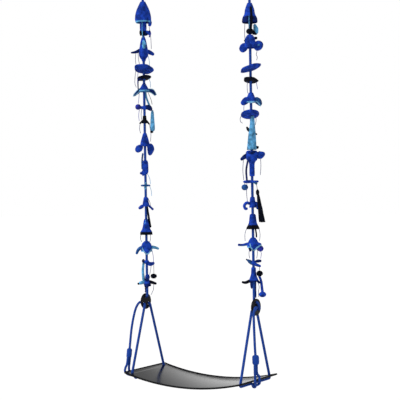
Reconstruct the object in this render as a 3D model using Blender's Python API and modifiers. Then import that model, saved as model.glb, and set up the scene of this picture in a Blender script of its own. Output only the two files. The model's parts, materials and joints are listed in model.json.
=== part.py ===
"""Rope swing with a curved plate seat and two ornamented ropes.

One rope on each side hangs from a ceiling plate. It comes down the inner face of a disc
with three holes, splits there into a front and a back leg that carry the seat's corners,
passes under the end of the seat, and ends in a slack tail that is hitched to itself.
Turned and petalled ornaments are threaded on both ropes, and a few hang from the others.

Units are metres. X runs along the seat, Y to its back and Z up. The ceiling is z = 0.
Heights of the rigging are given above the lowest point of the seat, and heights of the
ornaments above the upper edge of the discs.
"""

import math

import bmesh
import bpy
from mathutils import Matrix, Vector

# Clearances: around a rope that passes through a piece, and between faces that touch
FIT = 0.0004
GAP = 0.0003

# Seat plate, a thin sheet bent to an arc along its length
SEAT_LENGTH = 0.600
SEAT_DEPTH = 0.298
SEAT_SAG = 0.038
SEAT_THICK = 0.005
SEAT_CORNER = 0.008
SEAT_SEGMENTS = 20
SEAT_HOLE_PLAY = 0.0055
SEAT_HOLE_INSET_X = 0.0215
SEAT_HOLE_INSET_Y = 0.033

# Rope, its slack tail and the tail's eye
ROPE_DIA = 0.010
TAIL_DIA = 0.009
TAIL_EYE_DIA = 0.009
BEND_ROOM = 0.001

# Disc whose faces look along the seat, with three holes on one circle
DISC_DIA = 0.070
DISC_THICK = 0.006
DISC_HOLE_PLAY = 0.0055
DISC_RIM = 0.0065
DISC_HEIGHT = 0.334

# Ceiling plate with its ring, the link, the thimble and the top splice
PLATE_DIA = 0.070
PLATE_THICK = 0.006
PLATE_HOLE_DIA = 0.006
PLATE_HOLE_CIRCLE = 0.050
RING_DIA = 0.028
RING_WIRE_DIA = 0.008
LINK_WIRE_DIA = 0.007
LINK_PITCH = 0.044
LINK_PLAY = 0.0033
THIMBLE_BORE = 0.022
THIMBLE_WALL = 0.0025
THIMBLE_HUG = math.radians(70)
TOP_EYE_DROP = 0.050
SPLICE_LENGTH = 0.060
SPLICE_COVER = 0.001
SPLICE_SHOULDER = 0.006

# Ornamented rope: bare length above the highest ornament, and its flexing point above the disc
BARE_TOP = 0.0318
FLEX_UP = 0.036

# Tail: its eye's distance from the seat's end, and its route from the disc to its eye as (share of
# the drop, share of the way forward, distance outside the eye)
TAIL_OUT = 0.0085
TAIL_LEAD = 0.0015
TAIL_ROUTE = {
    "left": ((0.0, 0.0, -0.0145), (-0.025, 0.03, -0.0035), (0.06, 0.12, 0.0105), (0.22, 0.27, 0.016),
             (0.43, 0.47, 0.0155), (0.67, 0.66, 0.0115), (0.84, 0.80, 0.0075)),
    "right": ((0.0, 0.0, -0.0140), (-0.040, 0.10, -0.006), (-0.043, 0.50, -0.005), (0.006, 0.79, -0.007),
              (0.093, 0.90, -0.0080), (0.55, 0.86, -0.0055), (0.79, 1.0, 0.0)),
}
TAIL_STEPS = 7

# Sleeve of the tail's splice, and the doubled rope between it and the eye
SPLICE_DIA = {"left": 0.024, "right": 0.029}
SPLICE_UP = {"left": 0.041, "right": 0.053}
SPLICE_HALF = 0.020
SPLICE_SQUARENESS = 6
DOUBLED_DIA = 0.015

# Eye at the tail's foot: its top above the seat's end, its widest points and its turn to the hitch
TAIL_EYE_TOP = 0.032
TAIL_EYE_HALF_WIDTH = {"left": 0.0145, "right": 0.018}
TAIL_EYE_FORWARD = {"left": 0.019, "right": 0.027}
TAIL_EYE_WIDEST_FORWARD = {"left": 0.027, "right": 0.017}
TAIL_EYE_SHOULDER = 0.85
TAIL_EYE_SHOULDER_UP = 0.014
TAIL_EYE_WIDEST_DOWN = 0.002
TAIL_EYE_TURN_DOWN = 0.016
TAIL_EYE_TURN_IN = 0.004

# Hitch of the tail's eye round the run under the seat, placed from the seat's front holes
HITCH_FROM_FRONT = {"left": 0.030, "right": 0.100}
HITCH_REACH = 0.018
HITCH_STEPS = 6
HITCH_ROOM = 0.003
HITCH_OUT = 0.004
HITCH_WIRE = 0.006
HITCH_RISE = 0.002

# Turned shapes
SIDES = 12
WALL = 0.003
CROWN_SHARE = 0.15
MERGE = 0.00001
THREAD_DIA = 0.0024

# Directions round a rope, in degrees from +X, to which the ornaments spread
RIGHTWARD = 35
LEFTWARD = RIGHTWARD + 180
NEARWARD = RIGHTWARD - 90
PETAL_HALF = math.radians(65)

# Colours as linear RGB
COBALT = (0.013, 0.045, 0.40)
LIGHT_BLUE = (0.10, 0.35, 0.64)
VIOLET = (0.06, 0.06, 0.45)
BLACK = (0.006, 0.007, 0.010)
STEEL = (0.55, 0.56, 0.58)
ROPE_BLUE = (0.016, 0.06, 0.42)

# Bells and flowers: top height, outline as (drop below the top, radius) points, and petals as
# (angle, how far one reaches past the outline, how far it hangs below). Petals are pulled out of a
# bell's brim. A bud or cup is solid round the rope, with petals at a drop and over a span of its side
BELLS = {
    "left_top_bell": dict(top=1.299, outline=[(0, 0.012), (0.033, 0.027), (0.055, 0.0335), (0.074, 0.036),
                                              (0.094, 0.033)],
                          petals=[(15, 0.001, 0.016)]),
    "left_bud_flower": dict(top=1.141, outline=[(0, 0.007), (0.016, 0.012), (0.040, 0.0165), (0.066, 0.021),
                                                (0.084, 0.019), (0.096, 0.011), (0.107, 0.007)],
                            petals=[(LEFTWARD, 0.036, 0.004), (RIGHTWARD, 0.027, 0.010)],
                            petal_drop=0.066, petal_span=0.022),
    "left_brim_bell": dict(top=0.935, outline=[(0, 0.008), (0.0175, 0.016), (0.030, 0.0235), (0.036, 0.026)],
                           petals=[(LEFTWARD, 0.024, 0.016), (RIGHTWARD, 0.027, 0.015)], colour=LIGHT_BLUE),
    "left_small_bell": dict(top=0.791, outline=[(0, 0.008), (0.012, 0.009), (0.022, 0.010), (0.032, 0.012)],
                            petals=[(LEFTWARD, 0.012, 0.005), (RIGHTWARD, 0.011, 0.007)], colour=BLACK),
    "left_cone_bell": dict(top=0.713, outline=[(0, 0.009), (0.0205, 0.014), (0.038, 0.0187), (0.057, 0.0216)],
                           petals=[(LEFTWARD, 0.018, 0.034), (RIGHTWARD, 0.016, 0.040)]),
    "left_petal_bell": dict(top=0.428, outline=[(0, 0.009), (0.020, 0.0125), (0.032, 0.015), (0.040, 0.017)],
                            petals=[(LEFTWARD, 0.015, 0.013), (RIGHTWARD, 0.016, 0.018)]),
    "left_rimmed_bell": dict(top=0.331, outline=[(0, 0.009), (0.027, 0.0125), (0.045, 0.017), (0.058, 0.0255),
                                                 (0.070, 0.027)],
                             petals=[]),
    "left_wide_flower": dict(top=0.233, outline=[(0, 0.010), (0.013, 0.020), (0.029, 0.024), (0.046, 0.0245)],
                             petals=[(LEFTWARD, 0.021, 0.012), (RIGHTWARD, 0.030, -0.010),
                                     (NEARWARD, 0.000, 0.013)]),
    "left_low_bell": dict(top=0.063, outline=[(0, 0.010), (0.010, 0.0125), (0.018, 0.014), (0.024, 0.0145)],
                          petals=[(LEFTWARD, 0.021, 0.000), (RIGHTWARD, 0.028, -0.002)], colour=LIGHT_BLUE),
    "right_top_bell": dict(top=1.225, outline=[(0, 0.010), (0.0265, 0.019), (0.045, 0.022), (0.062, 0.030),
                                               (0.080, 0.032)],
                           petals=[]),
    "right_cone_flower": dict(top=1.093, outline=[(0, 0.012), (0.013, 0.018), (0.034, 0.022), (0.054, 0.024)],
                              petals=[(LEFTWARD, 0.014, 0.020), (RIGHTWARD, 0.029, 0.004)]),
    "right_petal_bell": dict(top=0.854, outline=[(0, 0.009), (0.008, 0.012), (0.0245, 0.018), (0.041, 0.020)],
                             petals=[(LEFTWARD, 0.020, 0.010), (RIGHTWARD, 0.021, 0.018)]),
    "right_long_cone": dict(top=0.752, outline=[(0, 0.0085), (0.040, 0.011), (0.080, 0.015), (0.135, 0.020)],
                            petals=[], colour=LIGHT_BLUE),
    "right_wide_flower": dict(top=0.612, outline=[(0, 0.020), (0.016, 0.026), (0.036, 0.022),
                                                  (0.052, 0.0115), (0.101, 0.0105)],
                              petals=[(LEFTWARD, 0.021, 0.018), (RIGHTWARD, 0.029, 0.000)],
                              petal_drop=0.016, petal_span=0.022),
    "right_curl_bell": dict(top=0.421, outline=[(0, 0.009), (0.018, 0.0115), (0.034, 0.013), (0.044, 0.014)],
                            petals=[(LEFTWARD, 0.021, 0.004), (RIGHTWARD, 0.012, 0.008)]),
    "right_rimmed_bell": dict(top=0.351, outline=[(0, 0.010), (0.027, 0.0145), (0.046, 0.0225),
                                                  (0.063, 0.026)],
                              petals=[]),
    "right_side_flower": dict(top=0.253, outline=[(0, 0.010), (0.014, 0.0185), (0.029, 0.024),
                                                  (0.040, 0.026)],
                              petals=[(LEFTWARD, 0.040, -0.008), (RIGHTWARD, 0.006, -0.006),
                                      (NEARWARD, 0.000, 0.009)]),
    "right_low_bell": dict(top=0.129, outline=[(0, 0.009), (0.018, 0.0115), (0.036, 0.0145), (0.056, 0.020)],
                           petals=[(LEFTWARD, 0.029, 0.003), (RIGHTWARD, 0.017, 0.000)]),
}

# Flat discs, a sleeve and rings: top height, thickness, radius, how the edge waves, and how far it
# rises to the right and to the near side for each metre from the rope
DISCS = {
    "left_blue_disc": dict(top=1.005, thick=0.010, radius=0.042, petals=5, wave=0.05, lean=-0.10, near=0.34),
    "left_black_disc": dict(top=0.967, thick=0.008, radius=0.031, petals=3, wave=0.05, lean=0.15, near=0.20,
                            colour=BLACK),
    "left_sleeve": dict(top=0.593, thick=0.062, radius=0.015, petals=4, wave=0.06),
    "left_thin_ring": dict(top=0.483, thick=0.006, radius=0.021, petals=4, wave=0.06, lean=0.08,
                           colour=LIGHT_BLUE),
    "right_blue_disc": dict(top=0.961, thick=0.010, radius=0.0415, petals=5, wave=0.05, lean=0.30, near=0.15),
    "right_black_disc": dict(top=0.91, thick=0.009, radius=0.029, petals=1, wave=0.06, phase=RIGHTWARD,
                             lean=-0.12, near=0.28, colour=BLACK),
    "right_wavy_disc": dict(top=0.769, thick=0.010, radius=0.038, petals=1, wave=0.14, phase=LEFTWARD,
                            lean=0.03, near=0.38),
    "right_thin_ring": dict(top=0.489, thick=0.007, radius=0.0285, petals=3, wave=0.40, phase=LEFTWARD),
}

# Knots of yarn: height, hub radius, and lobes of (angle, inner reach, outer reach, half height, rise)
KNOTS = {
    "left_bow": dict(at=1.1585, hub=0.011, colour=BLACK,
                     lobes=[(RIGHTWARD, 0.002, 0.026, 0.009, 0.003),
                            (LEFTWARD, 0.002, 0.026, 0.009, -0.003)]),
    "left_ball_bar": dict(at=0.827, hub=0.010, colour=VIOLET,
                          lobes=[(LEFTWARD, 0.000, 0.020, 0.004, 0.002),
                                 (LEFTWARD, 0.016, 0.042, 0.013, 0.003),
                                 (RIGHTWARD, 0.002, 0.042, 0.011, 0.000)]),
    "left_star": dict(at=0.139, hub=0.010, colour=COBALT,
                      lobes=[(LEFTWARD, 0.002, 0.026, 0.011, 0.004),
                             (RIGHTWARD, 0.000, 0.040, 0.007, -0.004)]),
    "right_knob": dict(at=1.108, hub=0.0125, colour=BLACK,
                       lobes=[(RIGHTWARD, 0.010, 0.037, 0.0135, 0.006)]),
    "right_twin_petals": dict(at=0.149, hub=0.010, colour=COBALT,
                              lobes=[(LEFTWARD, 0.000, 0.030, 0.009, 0.006),
                                     (RIGHTWARD - 45, 0.000, 0.040, 0.007, -0.006)]),
}

# Pendants: the ornament they hang from, at an angle and a reach from the rope, how far the foot
# leans outwards, and the bead or tassel as (drop below the thread's top, radius) points
PENDANTS = {
    "left_long_pendant": dict(host="left_ball_bar", angle=RIGHTWARD, reach=0.035, colour=LIGHT_BLUE,
                              body=[(0.020, 0.0030), (0.045, 0.0060), (0.074, 0.0100), (0.088, 0.0070),
                                    (0.094, 0.0035), (0.101, 0.0048), (0.107, 0.0020)]),
    "left_pompon": dict(host="left_star", angle=RIGHTWARD, reach=0.031, colour=BLACK,
                        body=[(0.034, 0.0030), (0.038, 0.0095), (0.049, 0.0140), (0.060, 0.0095),
                              (0.064, 0.0030)]),
    "right_bead_pendant": dict(host="right_thin_ring", angle=LEFTWARD, reach=0.031, colour=LIGHT_BLUE,
                               body=[(0.006, 0.0030), (0.010, 0.0085), (0.0195, 0.0125), (0.029, 0.0085),
                                     (0.033, 0.0030)]),
    "right_tassel": dict(host="right_thin_ring", angle=335, reach=0.030, colour=BLACK, lean=0.020,
                         body=[(0.030, 0.0030), (0.034, 0.0080), (0.042, 0.0100), (0.051, 0.0050),
                               (0.064, 0.0065), (0.140, 0.0120), (0.165, 0.0130), (0.168, 0.0060)]),
    "right_pompon": dict(host="right_twin_petals", angle=RIGHTWARD - 45, reach=0.033, colour=BLACK,
                         body=[(0.014, 0.0030), (0.018, 0.0095), (0.0285, 0.0140), (0.039, 0.0095),
                               (0.043, 0.0030)]),
    "right_drop_pendant": dict(host="right_low_bell", angle=RIGHTWARD, reach=0.0338, colour=COBALT,
                               body=[(0.034, 0.0030), (0.039, 0.0095), (0.050, 0.0145), (0.061, 0.0095),
                                     (0.065, 0.0030)]),
}

# Values that follow from the sizes above
ROPE_R = ROPE_DIA / 2
BORE = ROPE_R + FIT
ROPE_X = SEAT_LENGTH / 2 - SEAT_HOLE_INSET_X
HOLE_Y = SEAT_DEPTH / 2 - SEAT_HOLE_INSET_Y
ARC_RADIUS = ((SEAT_LENGTH / 2) ** 2 + SEAT_SAG ** 2) / (2 * SEAT_SAG)
SEAT_HOLE_DIA = ROPE_DIA + SEAT_HOLE_PLAY
DISC_HOLE_DIA = ROPE_DIA + DISC_HOLE_PLAY
DISC_PITCH = DISC_DIA / 2 - DISC_RIM - DISC_HOLE_DIA / 2
LOW_HOLE_OUT = DISC_PITCH * math.cos(math.radians(30))
LOW_HOLE_DOWN = DISC_PITCH * math.sin(math.radians(30))
DISC_OFFSET = ROPE_R + DISC_THICK / 2 + GAP * 2
DISC_X = ROPE_X + DISC_OFFSET
OUTER_X = DISC_X + DISC_OFFSET
DISC_BEND = DISC_OFFSET - BEND_ROOM
UNDER_BEND = ROPE_R + BEND_ROOM
RING_Z = -PLATE_THICK - RING_DIA
LINK_Z = RING_Z - LINK_PITCH
GROOVE = ROPE_R + GAP
LINK_INSIDE = 2 * (GROOVE + THIMBLE_WALL) * math.sin(THIMBLE_HUG) + LINK_PLAY
THIMBLE_Z = LINK_Z + LINK_WIRE_DIA / 2 + GAP - THIMBLE_BORE / 2
TOP_EYE_RADIUS = THIMBLE_BORE / 2 + THIMBLE_WALL + GROOVE
SPLICE_TOP_Z = THIMBLE_Z - TOP_EYE_DROP - ROPE_R
SPLICE_FOOT_Z = SPLICE_TOP_Z - SPLICE_LENGTH
DISC_EDGE = DISC_HEIGHT + DISC_DIA / 2
HANG_HEIGHT = DISC_EDGE + max(spec["top"] for spec in BELLS.values()) + BARE_TOP - SPLICE_FOOT_Z
SIDE_SIGN = {"left": -1, "right": 1}


def up(height):
    """World z of a height above the seat's lowest point."""
    return height - HANG_HEIGHT


def arc_z(x, out=0.0):
    """World z of the seat's arc at x, or of a line so far below its upper face."""
    return up(ARC_RADIUS - math.sqrt((ARC_RADIUS + out) ** 2 - x ** 2))


DISC_TOP_Z = up(DISC_HEIGHT + DISC_PITCH)
DISC_LOW_Z = up(DISC_HEIGHT - LOW_HOLE_DOWN)
FLEX_Z = up(DISC_EDGE + FLEX_UP)
HOLE_TOP_Z = arc_z(ROPE_X)
RUN_Z = arc_z(ROPE_X, SEAT_THICK + ROPE_R + GAP * 2)
HITCH_Z = RUN_Z - FIT * 2 - HITCH_WIRE - HITCH_ROOM
END_Z = arc_z(SEAT_LENGTH / 2)

# Joint points of the moving bodies, each also the place of that body's empty
JOINT_POINTS = {
    "hangers": (0, 0, 0),
    "links": (0, 0, RING_Z),
    "left_strand": (-ROPE_X, 0, LINK_Z),
    "right_strand": (ROPE_X, 0, LINK_Z),
    "carrier": (-ROPE_X, 0, FLEX_Z),
    "seat": (0, 0, DISC_TOP_Z),
}
BODY_PARENTS = {
    "links": "hangers",
    "left_strand": "links",
    "right_strand": "links",
    "carrier": "left_strand",
    "seat": "carrier",
}


def start_scene():
    """Empty the file and make one collection for the parts and one for their tools."""
    for obj in list(bpy.data.objects):
        bpy.data.objects.remove(obj, do_unlink=True)
    collections = {}
    for name in ("rope_swing", "cutters"):
        collections[name] = bpy.data.collections.new(name)
        bpy.context.scene.collection.children.link(collections[name])
    return collections


COLLECTIONS = start_scene()
EMPTIES = {}


def add_empties():
    """One empty on each joint, so that a body turns about its own origin."""
    for body, point in JOINT_POINTS.items():
        empty = bpy.data.objects.new(body + "_axis", None)
        COLLECTIONS["rope_swing"].objects.link(empty)
        EMPTIES[body] = empty
        parent = BODY_PARENTS.get(body)
        if parent:
            empty.parent = EMPTIES[parent]
            empty.location = Vector(point) - Vector(JOINT_POINTS[parent])


def paint(obj, colour, roughness=0.85, metallic=0.0):
    """Give an object its own plain material."""
    material = bpy.data.materials.new(obj.name)
    material.use_nodes = True
    shader = material.node_tree.nodes["Principled BSDF"]
    shader.inputs["Base Color"].default_value = (*colour, 1)
    shader.inputs["Roughness"].default_value = roughness
    shader.inputs["Metallic"].default_value = metallic
    obj.data.materials.clear()
    obj.data.materials.append(material)


def add_part(obj, body, place=(0, 0, 0)):
    """Put an object in the parts collection, carried by its body's empty."""
    if obj.name not in COLLECTIONS["rope_swing"].objects:
        COLLECTIONS["rope_swing"].objects.link(obj)
    for other in list(obj.users_collection):
        if other is not COLLECTIONS["rope_swing"]:
            other.objects.unlink(obj)
    obj.parent = EMPTIES[body]
    obj.location = Vector(place) - Vector(JOINT_POINTS[body])


def hold(obj):
    """Keep a tool or an unfinished shape in the cutters collection."""
    COLLECTIONS["cutters"].objects.link(obj)
    obj.hide_render = True
    obj.display_type = "WIRE"
    return obj


def bake(obj):
    """Replace an object by the mesh that its curve and modifiers make, with welded caps."""
    bpy.context.view_layer.update()
    graph = bpy.context.evaluated_depsgraph_get()
    mesh = bpy.data.meshes.new_from_object(obj.evaluated_get(graph))
    shape = bmesh.new()
    shape.from_mesh(mesh)
    bmesh.ops.remove_doubles(shape, verts=shape.verts, dist=MERGE)
    shape.to_mesh(mesh)
    shape.free()
    name = obj.name
    matrix = obj.matrix_world.copy()
    bpy.data.objects.remove(obj, do_unlink=True)
    solid = bpy.data.objects.new(name, mesh)
    solid.matrix_world = matrix
    return solid


def combine(obj, tools, operation):
    """Join tools to a shape, or cut them from it, and drop the tools."""
    hold(obj)
    for tool in tools:
        if not tool.users_collection:
            hold(tool)
        boolean = obj.modifiers.new(operation.lower(), "BOOLEAN")
        boolean.operation = operation
        boolean.object = tool
    result = bake(obj)
    for tool in tools:
        bpy.data.objects.remove(tool, do_unlink=True)
    return result


def smooth_shade(obj, angle=40):
    """Shade a round piece smooth, with its real edges sharp."""
    obj.data.shade_smooth()
    obj.data.set_sharp_from_angle(angle=math.radians(angle))


def primitive(name, make, **sizes):
    """A mesh object made by one of the bmesh primitives."""
    shape = bmesh.new()
    make(shape, **sizes)
    mesh = bpy.data.meshes.new(name)
    shape.to_mesh(mesh)
    shape.free()
    return bpy.data.objects.new(name, mesh)


def cylinder(name, radius, length, turn, place, sides=SIDES):
    """A cylinder along Z, turned by a matrix and moved to its place."""
    matrix = Matrix.Translation(place) @ turn
    return primitive(name, bmesh.ops.create_cone, cap_ends=True, segments=sides, radius1=radius,
                     radius2=radius, depth=length, matrix=matrix)


def ellipsoid(name, sizes, place, angle=0.0, sides=8, rings=6):
    """A sphere stretched to three half sizes and turned about Z."""
    matrix = Matrix.Translation(place) @ Matrix.Rotation(angle, 4, "Z") @ Matrix.Diagonal((*sizes, 1))
    return primitive(name, bmesh.ops.create_uvsphere, u_segments=sides, v_segments=rings, radius=1,
                     matrix=matrix)


def turned(name, profile, sides=SIDES):
    """A profile of (radius, height) points, outer side first and downwards, turned about Z.

    It is closed on itself unless it starts and ends on the axis.
    """
    mesh = bpy.data.meshes.new(name)
    count = len(profile)
    edges = [(i, i + 1) for i in range(count - 1)]
    if profile[0][0] > 0:
        edges.append((count - 1, 0))
    mesh.from_pydata([(radius, 0, height) for radius, height in profile], edges, [])
    obj = hold(bpy.data.objects.new(name, mesh))
    screw = obj.modifiers.new("turn", "SCREW")
    screw.steps = sides
    screw.render_steps = sides
    screw.use_merge_vertices = True
    screw.merge_threshold = MERGE
    return bake(obj)


def along(points, steps):
    """Points of a smooth curve through a list of tuples, with so many steps in each stretch."""
    points = [Vector(p) for p in points]
    ends = [2 * points[0] - points[1]] + points + [2 * points[-1] - points[-2]]
    path = []
    for before, start, end, after in zip(ends, ends[1:], ends[2:], ends[3:]):
        for i in range(steps):
            t = i / steps
            path.append(0.5 * (2 * start + (end - before) * t
                               + (2 * before - 5 * start + 4 * end - after) * t ** 2
                               + (3 * start - before - 3 * end + after) * t ** 3))
    return path + [points[-1]]


def rounded(points, radius, steps=3):
    """A rope's straight runs through corner points, with each corner an arc."""
    points = [Vector(p) for p in points]
    path = [points[0]]
    for before, corner, after in zip(points, points[1:], points[2:]):
        back = (before - corner).normalized()
        ahead = (after - corner).normalized()
        half = back.angle(ahead) / 2
        middle = corner + (back + ahead).normalized() * radius / math.sin(half)
        start = corner + back * radius / math.tan(half)
        end = corner + ahead * radius / math.tan(half)
        inward = (start - middle).normalized()
        outward = (end - middle).normalized()
        for i in range(steps + 1):
            path.append(middle + inward.slerp(outward, i / steps) * radius)
    return path + [points[-1]]


def tube(name, path, diameter, swell=None, cyclic=False, resolution=2):
    """A rope or wire along a path. Swell gives each point's share of the diameter."""
    curve = bpy.data.curves.new(name, "CURVE")
    curve.dimensions = "3D"
    curve.bevel_depth = diameter / 2
    curve.bevel_resolution = resolution
    curve.use_fill_caps = True
    spline = curve.splines.new("POLY")
    spline.points.add(len(path) - 1)
    spline.use_cyclic_u = cyclic
    for i, place in enumerate(path):
        spline.points[i].co = (*place, 1)
        spline.points[i].radius = swell[i] if swell else 1
    return bpy.data.objects.new(name, curve)


def around(angle, reach, height):
    """A point beside a rope, in the rope's own frame."""
    turn = math.radians(angle)
    return Vector((reach * math.cos(turn), reach * math.sin(turn), height))


def strand_place(side, height):
    """The world place on one side's rope at a height above the discs."""
    return Vector((SIDE_SIGN[side] * ROPE_X, 0, up(DISC_EDGE + height)))


def pull_petals(obj, spec):
    """Pull petals out of a turned shape, from its brim or from a belt of its side."""
    length = spec["outline"][-1][0]
    for vertex in obj.data.vertices:
        place = vertex.co
        reach = math.hypot(place.x, place.y)
        if reach <= BORE + MERGE:
            continue
        if "petal_drop" in spec:
            share = max(0.0, 1 - abs(place.z + spec["petal_drop"]) / spec["petal_span"])
        else:
            share = min(1.0, -place.z / length) ** 3
        turn = math.atan2(place.y, place.x)
        drop = 0
        for angle, out, hang in spec["petals"]:
            away = abs(math.remainder(turn - math.radians(angle), math.tau))
            pull = share * math.cos(min(1.0, away / PETAL_HALF) * math.pi / 2) ** 2
            reach += out * pull
            drop += hang * pull
        vertex.co = (reach * math.cos(turn), reach * math.sin(turn), place.z - drop)


def radius_at(outline, drop):
    """The radius of an outline of (drop, radius) points at any drop."""
    for (upper, start), (lower, end) in zip(outline, outline[1:]):
        if drop <= lower:
            return start + (end - start) * (drop - upper) / (lower - upper)
    return outline[-1][1]


def bell_profile(outline):
    """A thin bell over the rope's bore: down the outside and back up the inside."""
    length = outline[-1][0]
    crown = length * CROWN_SHARE
    drops = [drop for drop, radius in outline if drop > crown + WALL * 2] + [crown + WALL]
    drops.sort(reverse=True)
    inside = [(max(radius_at(outline, drop) - WALL, BORE + FIT), -drop) for drop in drops]
    return [(radius, -drop) for drop, radius in outline] + inside + [(BORE, -crown), (BORE, 0)]


def solid_profile(outline):
    """A bud or cup that fills the space between its outline and the rope's bore."""
    return [(radius, -drop) for drop, radius in outline] + [(BORE, -outline[-1][0]), (BORE, 0)]


def add_bells():
    """Bells and flowers, threaded on the ropes."""
    for name, spec in BELLS.items():
        side = name.split("_")[0]
        profile = solid_profile if "petal_drop" in spec else bell_profile
        bell = turned(name, profile(spec["outline"]))
        pull_petals(bell, spec)
        paint(bell, spec.get("colour", COBALT))
        smooth_shade(bell)
        add_part(bell, side + "_strand", strand_place(side, spec["top"]))


def add_discs():
    """Flat rounds, a sleeve and rings, threaded on the ropes."""
    for name, spec in DISCS.items():
        side = name.split("_")[0]
        radius = spec["radius"]
        thick = spec["thick"]
        edge = min(thick / 3, radius / 4)
        waist = BORE + (radius - BORE) / 2
        profile = [(waist, 0), (radius - edge, 0), (radius, -thick / 2), (radius - edge, -thick),
                   (waist, -thick), (BORE, -thick), (BORE, 0)]
        disc = turned(name, profile, max(SIDES, spec["petals"] * 3))
        for vertex in disc.data.vertices:
            reach = math.hypot(vertex.co.x, vertex.co.y)
            turn = math.atan2(vertex.co.y, vertex.co.x)
            share = (reach - BORE) / (radius - BORE)
            petal = math.cos(spec["petals"] * (turn - math.radians(spec.get("phase", 0)))) * share ** 2
            grown = BORE + (reach - BORE) * (1 + spec["wave"] * petal)
            rise = spec.get("lean", 0) * math.cos(turn - math.radians(RIGHTWARD))
            rise += spec.get("near", 0) * math.cos(turn - math.radians(NEARWARD))
            rise *= grown * min(1, share)
            vertex.co = (grown * math.cos(turn), grown * math.sin(turn), vertex.co.z + rise)
        paint(disc, spec.get("colour", COBALT))
        smooth_shade(disc)
        add_part(disc, side + "_strand", strand_place(side, spec["top"]))


def add_knots():
    """Knots of yarn with lobes to their sides, bored for the rope."""
    for name, spec in KNOTS.items():
        side = name.split("_")[0]
        wide = spec["hub"] + BORE / 2
        knot = ellipsoid(name, (wide, wide, spec["hub"]), (0, 0, 0), sides=SIDES)
        lobes = []
        for angle, inner, outer, half_height, rise in spec["lobes"]:
            middle = around(angle, (inner + outer) / 2, rise)
            sizes = ((outer - inner) / 2, half_height, half_height)
            lobes.append(ellipsoid(name + "_lobe", sizes, middle, math.radians(angle)))
        knot = combine(knot, lobes, "UNION")
        bore = cylinder(name + "_bore", BORE, spec["hub"] * 4, Matrix(), (0, 0, 0))
        knot = combine(knot, [bore], "DIFFERENCE")
        paint(knot, spec["colour"])
        smooth_shade(knot)
        add_part(knot, side + "_strand", strand_place(side, spec["at"]))


def hang_point(host, angle, reach):
    """The point just under an ornament where a pendant's thread starts, in the rope's frame."""
    if host in KNOTS:
        spec = KNOTS[host]
        inner, outer, half_height, rise = spec["lobes"][-1][1:]
        share = (2 * reach - inner - outer) / (outer - inner)
        height = spec["at"] + rise - half_height * math.sqrt(1 - share ** 2)
    elif host in DISCS:
        height = DISCS[host]["top"] - DISCS[host]["thick"]
    else:
        height = BELLS[host]["top"] - BELLS[host]["outline"][-1][0]
    return around(angle, reach, height - GAP)


def add_pendants():
    """Beads, pompoms and a tassel that swing on threads from the ornaments above them."""
    thread = THREAD_DIA / 2
    for name, spec in PENDANTS.items():
        side = name.split("_")[0]
        start_drop, start_radius = spec["body"][0]
        stations = [(0, thread), (start_drop - start_radius, thread)] + spec["body"]
        longest = stations[-1][0]
        lean = spec.get("lean", 0.0)
        path = [around(RIGHTWARD, lean * drop / longest, -drop) for drop, radius in stations]
        pendant = tube(name, path, THREAD_DIA, [radius / thread for drop, radius in stations])
        paint(pendant, spec["colour"])
        top = hang_point(spec["host"], spec["angle"], spec["reach"])
        add_part(pendant, side + "_strand", strand_place(side, 0) + top)


def add_seat():
    """The bent plate with a rope hole near each corner."""
    shape = bmesh.new()
    bmesh.ops.create_grid(shape, x_segments=SEAT_SEGMENTS, y_segments=1, size=0.5)
    bmesh.ops.scale(shape, vec=(SEAT_LENGTH, SEAT_DEPTH, 1), verts=shape.verts)
    corners = [v for v in shape.verts if len(v.link_edges) == 2]
    bmesh.ops.bevel(shape, geom=corners, offset=SEAT_CORNER, segments=3, profile=0.5, affect="VERTICES")
    for vertex in shape.verts:
        vertex.co.z = arc_z(vertex.co.x) - up(0)
    mesh = bpy.data.meshes.new("seat_plate")
    shape.to_mesh(mesh)
    shape.free()
    seat = bpy.data.objects.new("seat_plate", mesh)
    solidify = seat.modifiers.new("sheet", "SOLIDIFY")
    solidify.thickness = SEAT_THICK
    solidify.offset = -1
    cutters = []
    for x in (-ROPE_X, ROPE_X):
        for y in (-HOLE_Y, HOLE_Y):
            place = (x, y, HOLE_TOP_Z - up(0))
            cutters.append(cylinder("seat_hole", SEAT_HOLE_DIA / 2, SEAT_THICK * 6, Matrix(), place))
    seat = combine(seat, cutters, "DIFFERENCE")
    paint(seat, BLACK, 0.35)
    smooth_shade(seat)
    add_part(seat, "seat", (0, 0, up(0)))


def add_disc_plate(side):
    """The disc whose three holes lead the rope, and let it grip itself."""
    across = Matrix.Rotation(math.pi / 2, 4, "Y")
    disc = cylinder(side + "_disc", DISC_DIA / 2, DISC_THICK, across, (0, 0, 0), 28)
    holes = [(0, DISC_PITCH), (-LOW_HOLE_OUT, -LOW_HOLE_DOWN), (LOW_HOLE_OUT, -LOW_HOLE_DOWN)]
    cutters = []
    for y, z in holes:
        cutters.append(cylinder("disc_hole", DISC_HOLE_DIA / 2, DISC_THICK * 4, across, (0, y, z), 14))
    disc = combine(disc, cutters, "DIFFERENCE")
    paint(disc, BLACK, 0.4)
    smooth_shade(disc)
    add_part(disc, "seat", (SIDE_SIGN[side] * DISC_X, 0, up(DISC_HEIGHT)))


def leg_foot(y_sign):
    """Where a leg's line meets the line of the run under the seat."""
    start = Vector((0, y_sign * LOW_HOLE_OUT, DISC_LOW_Z))
    hole = Vector((0, y_sign * HOLE_Y, HOLE_TOP_Z - SEAT_THICK / 2))
    share = (RUN_Z - start.z) / (hole.z - start.z)
    return start + (hole - start) * share


def leg_path(start, y_sign, run_end):
    """A leg from its points at the disc, through the seat's hole and round to the run under the seat."""
    foot = (ROPE_X, leg_foot(y_sign).y, RUN_Z)
    path = rounded(start + [foot], DISC_BEND)
    return path[:-1] + rounded([path[-2], foot, (ROPE_X, run_end, RUN_Z)], UNDER_BEND)[1:]


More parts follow.
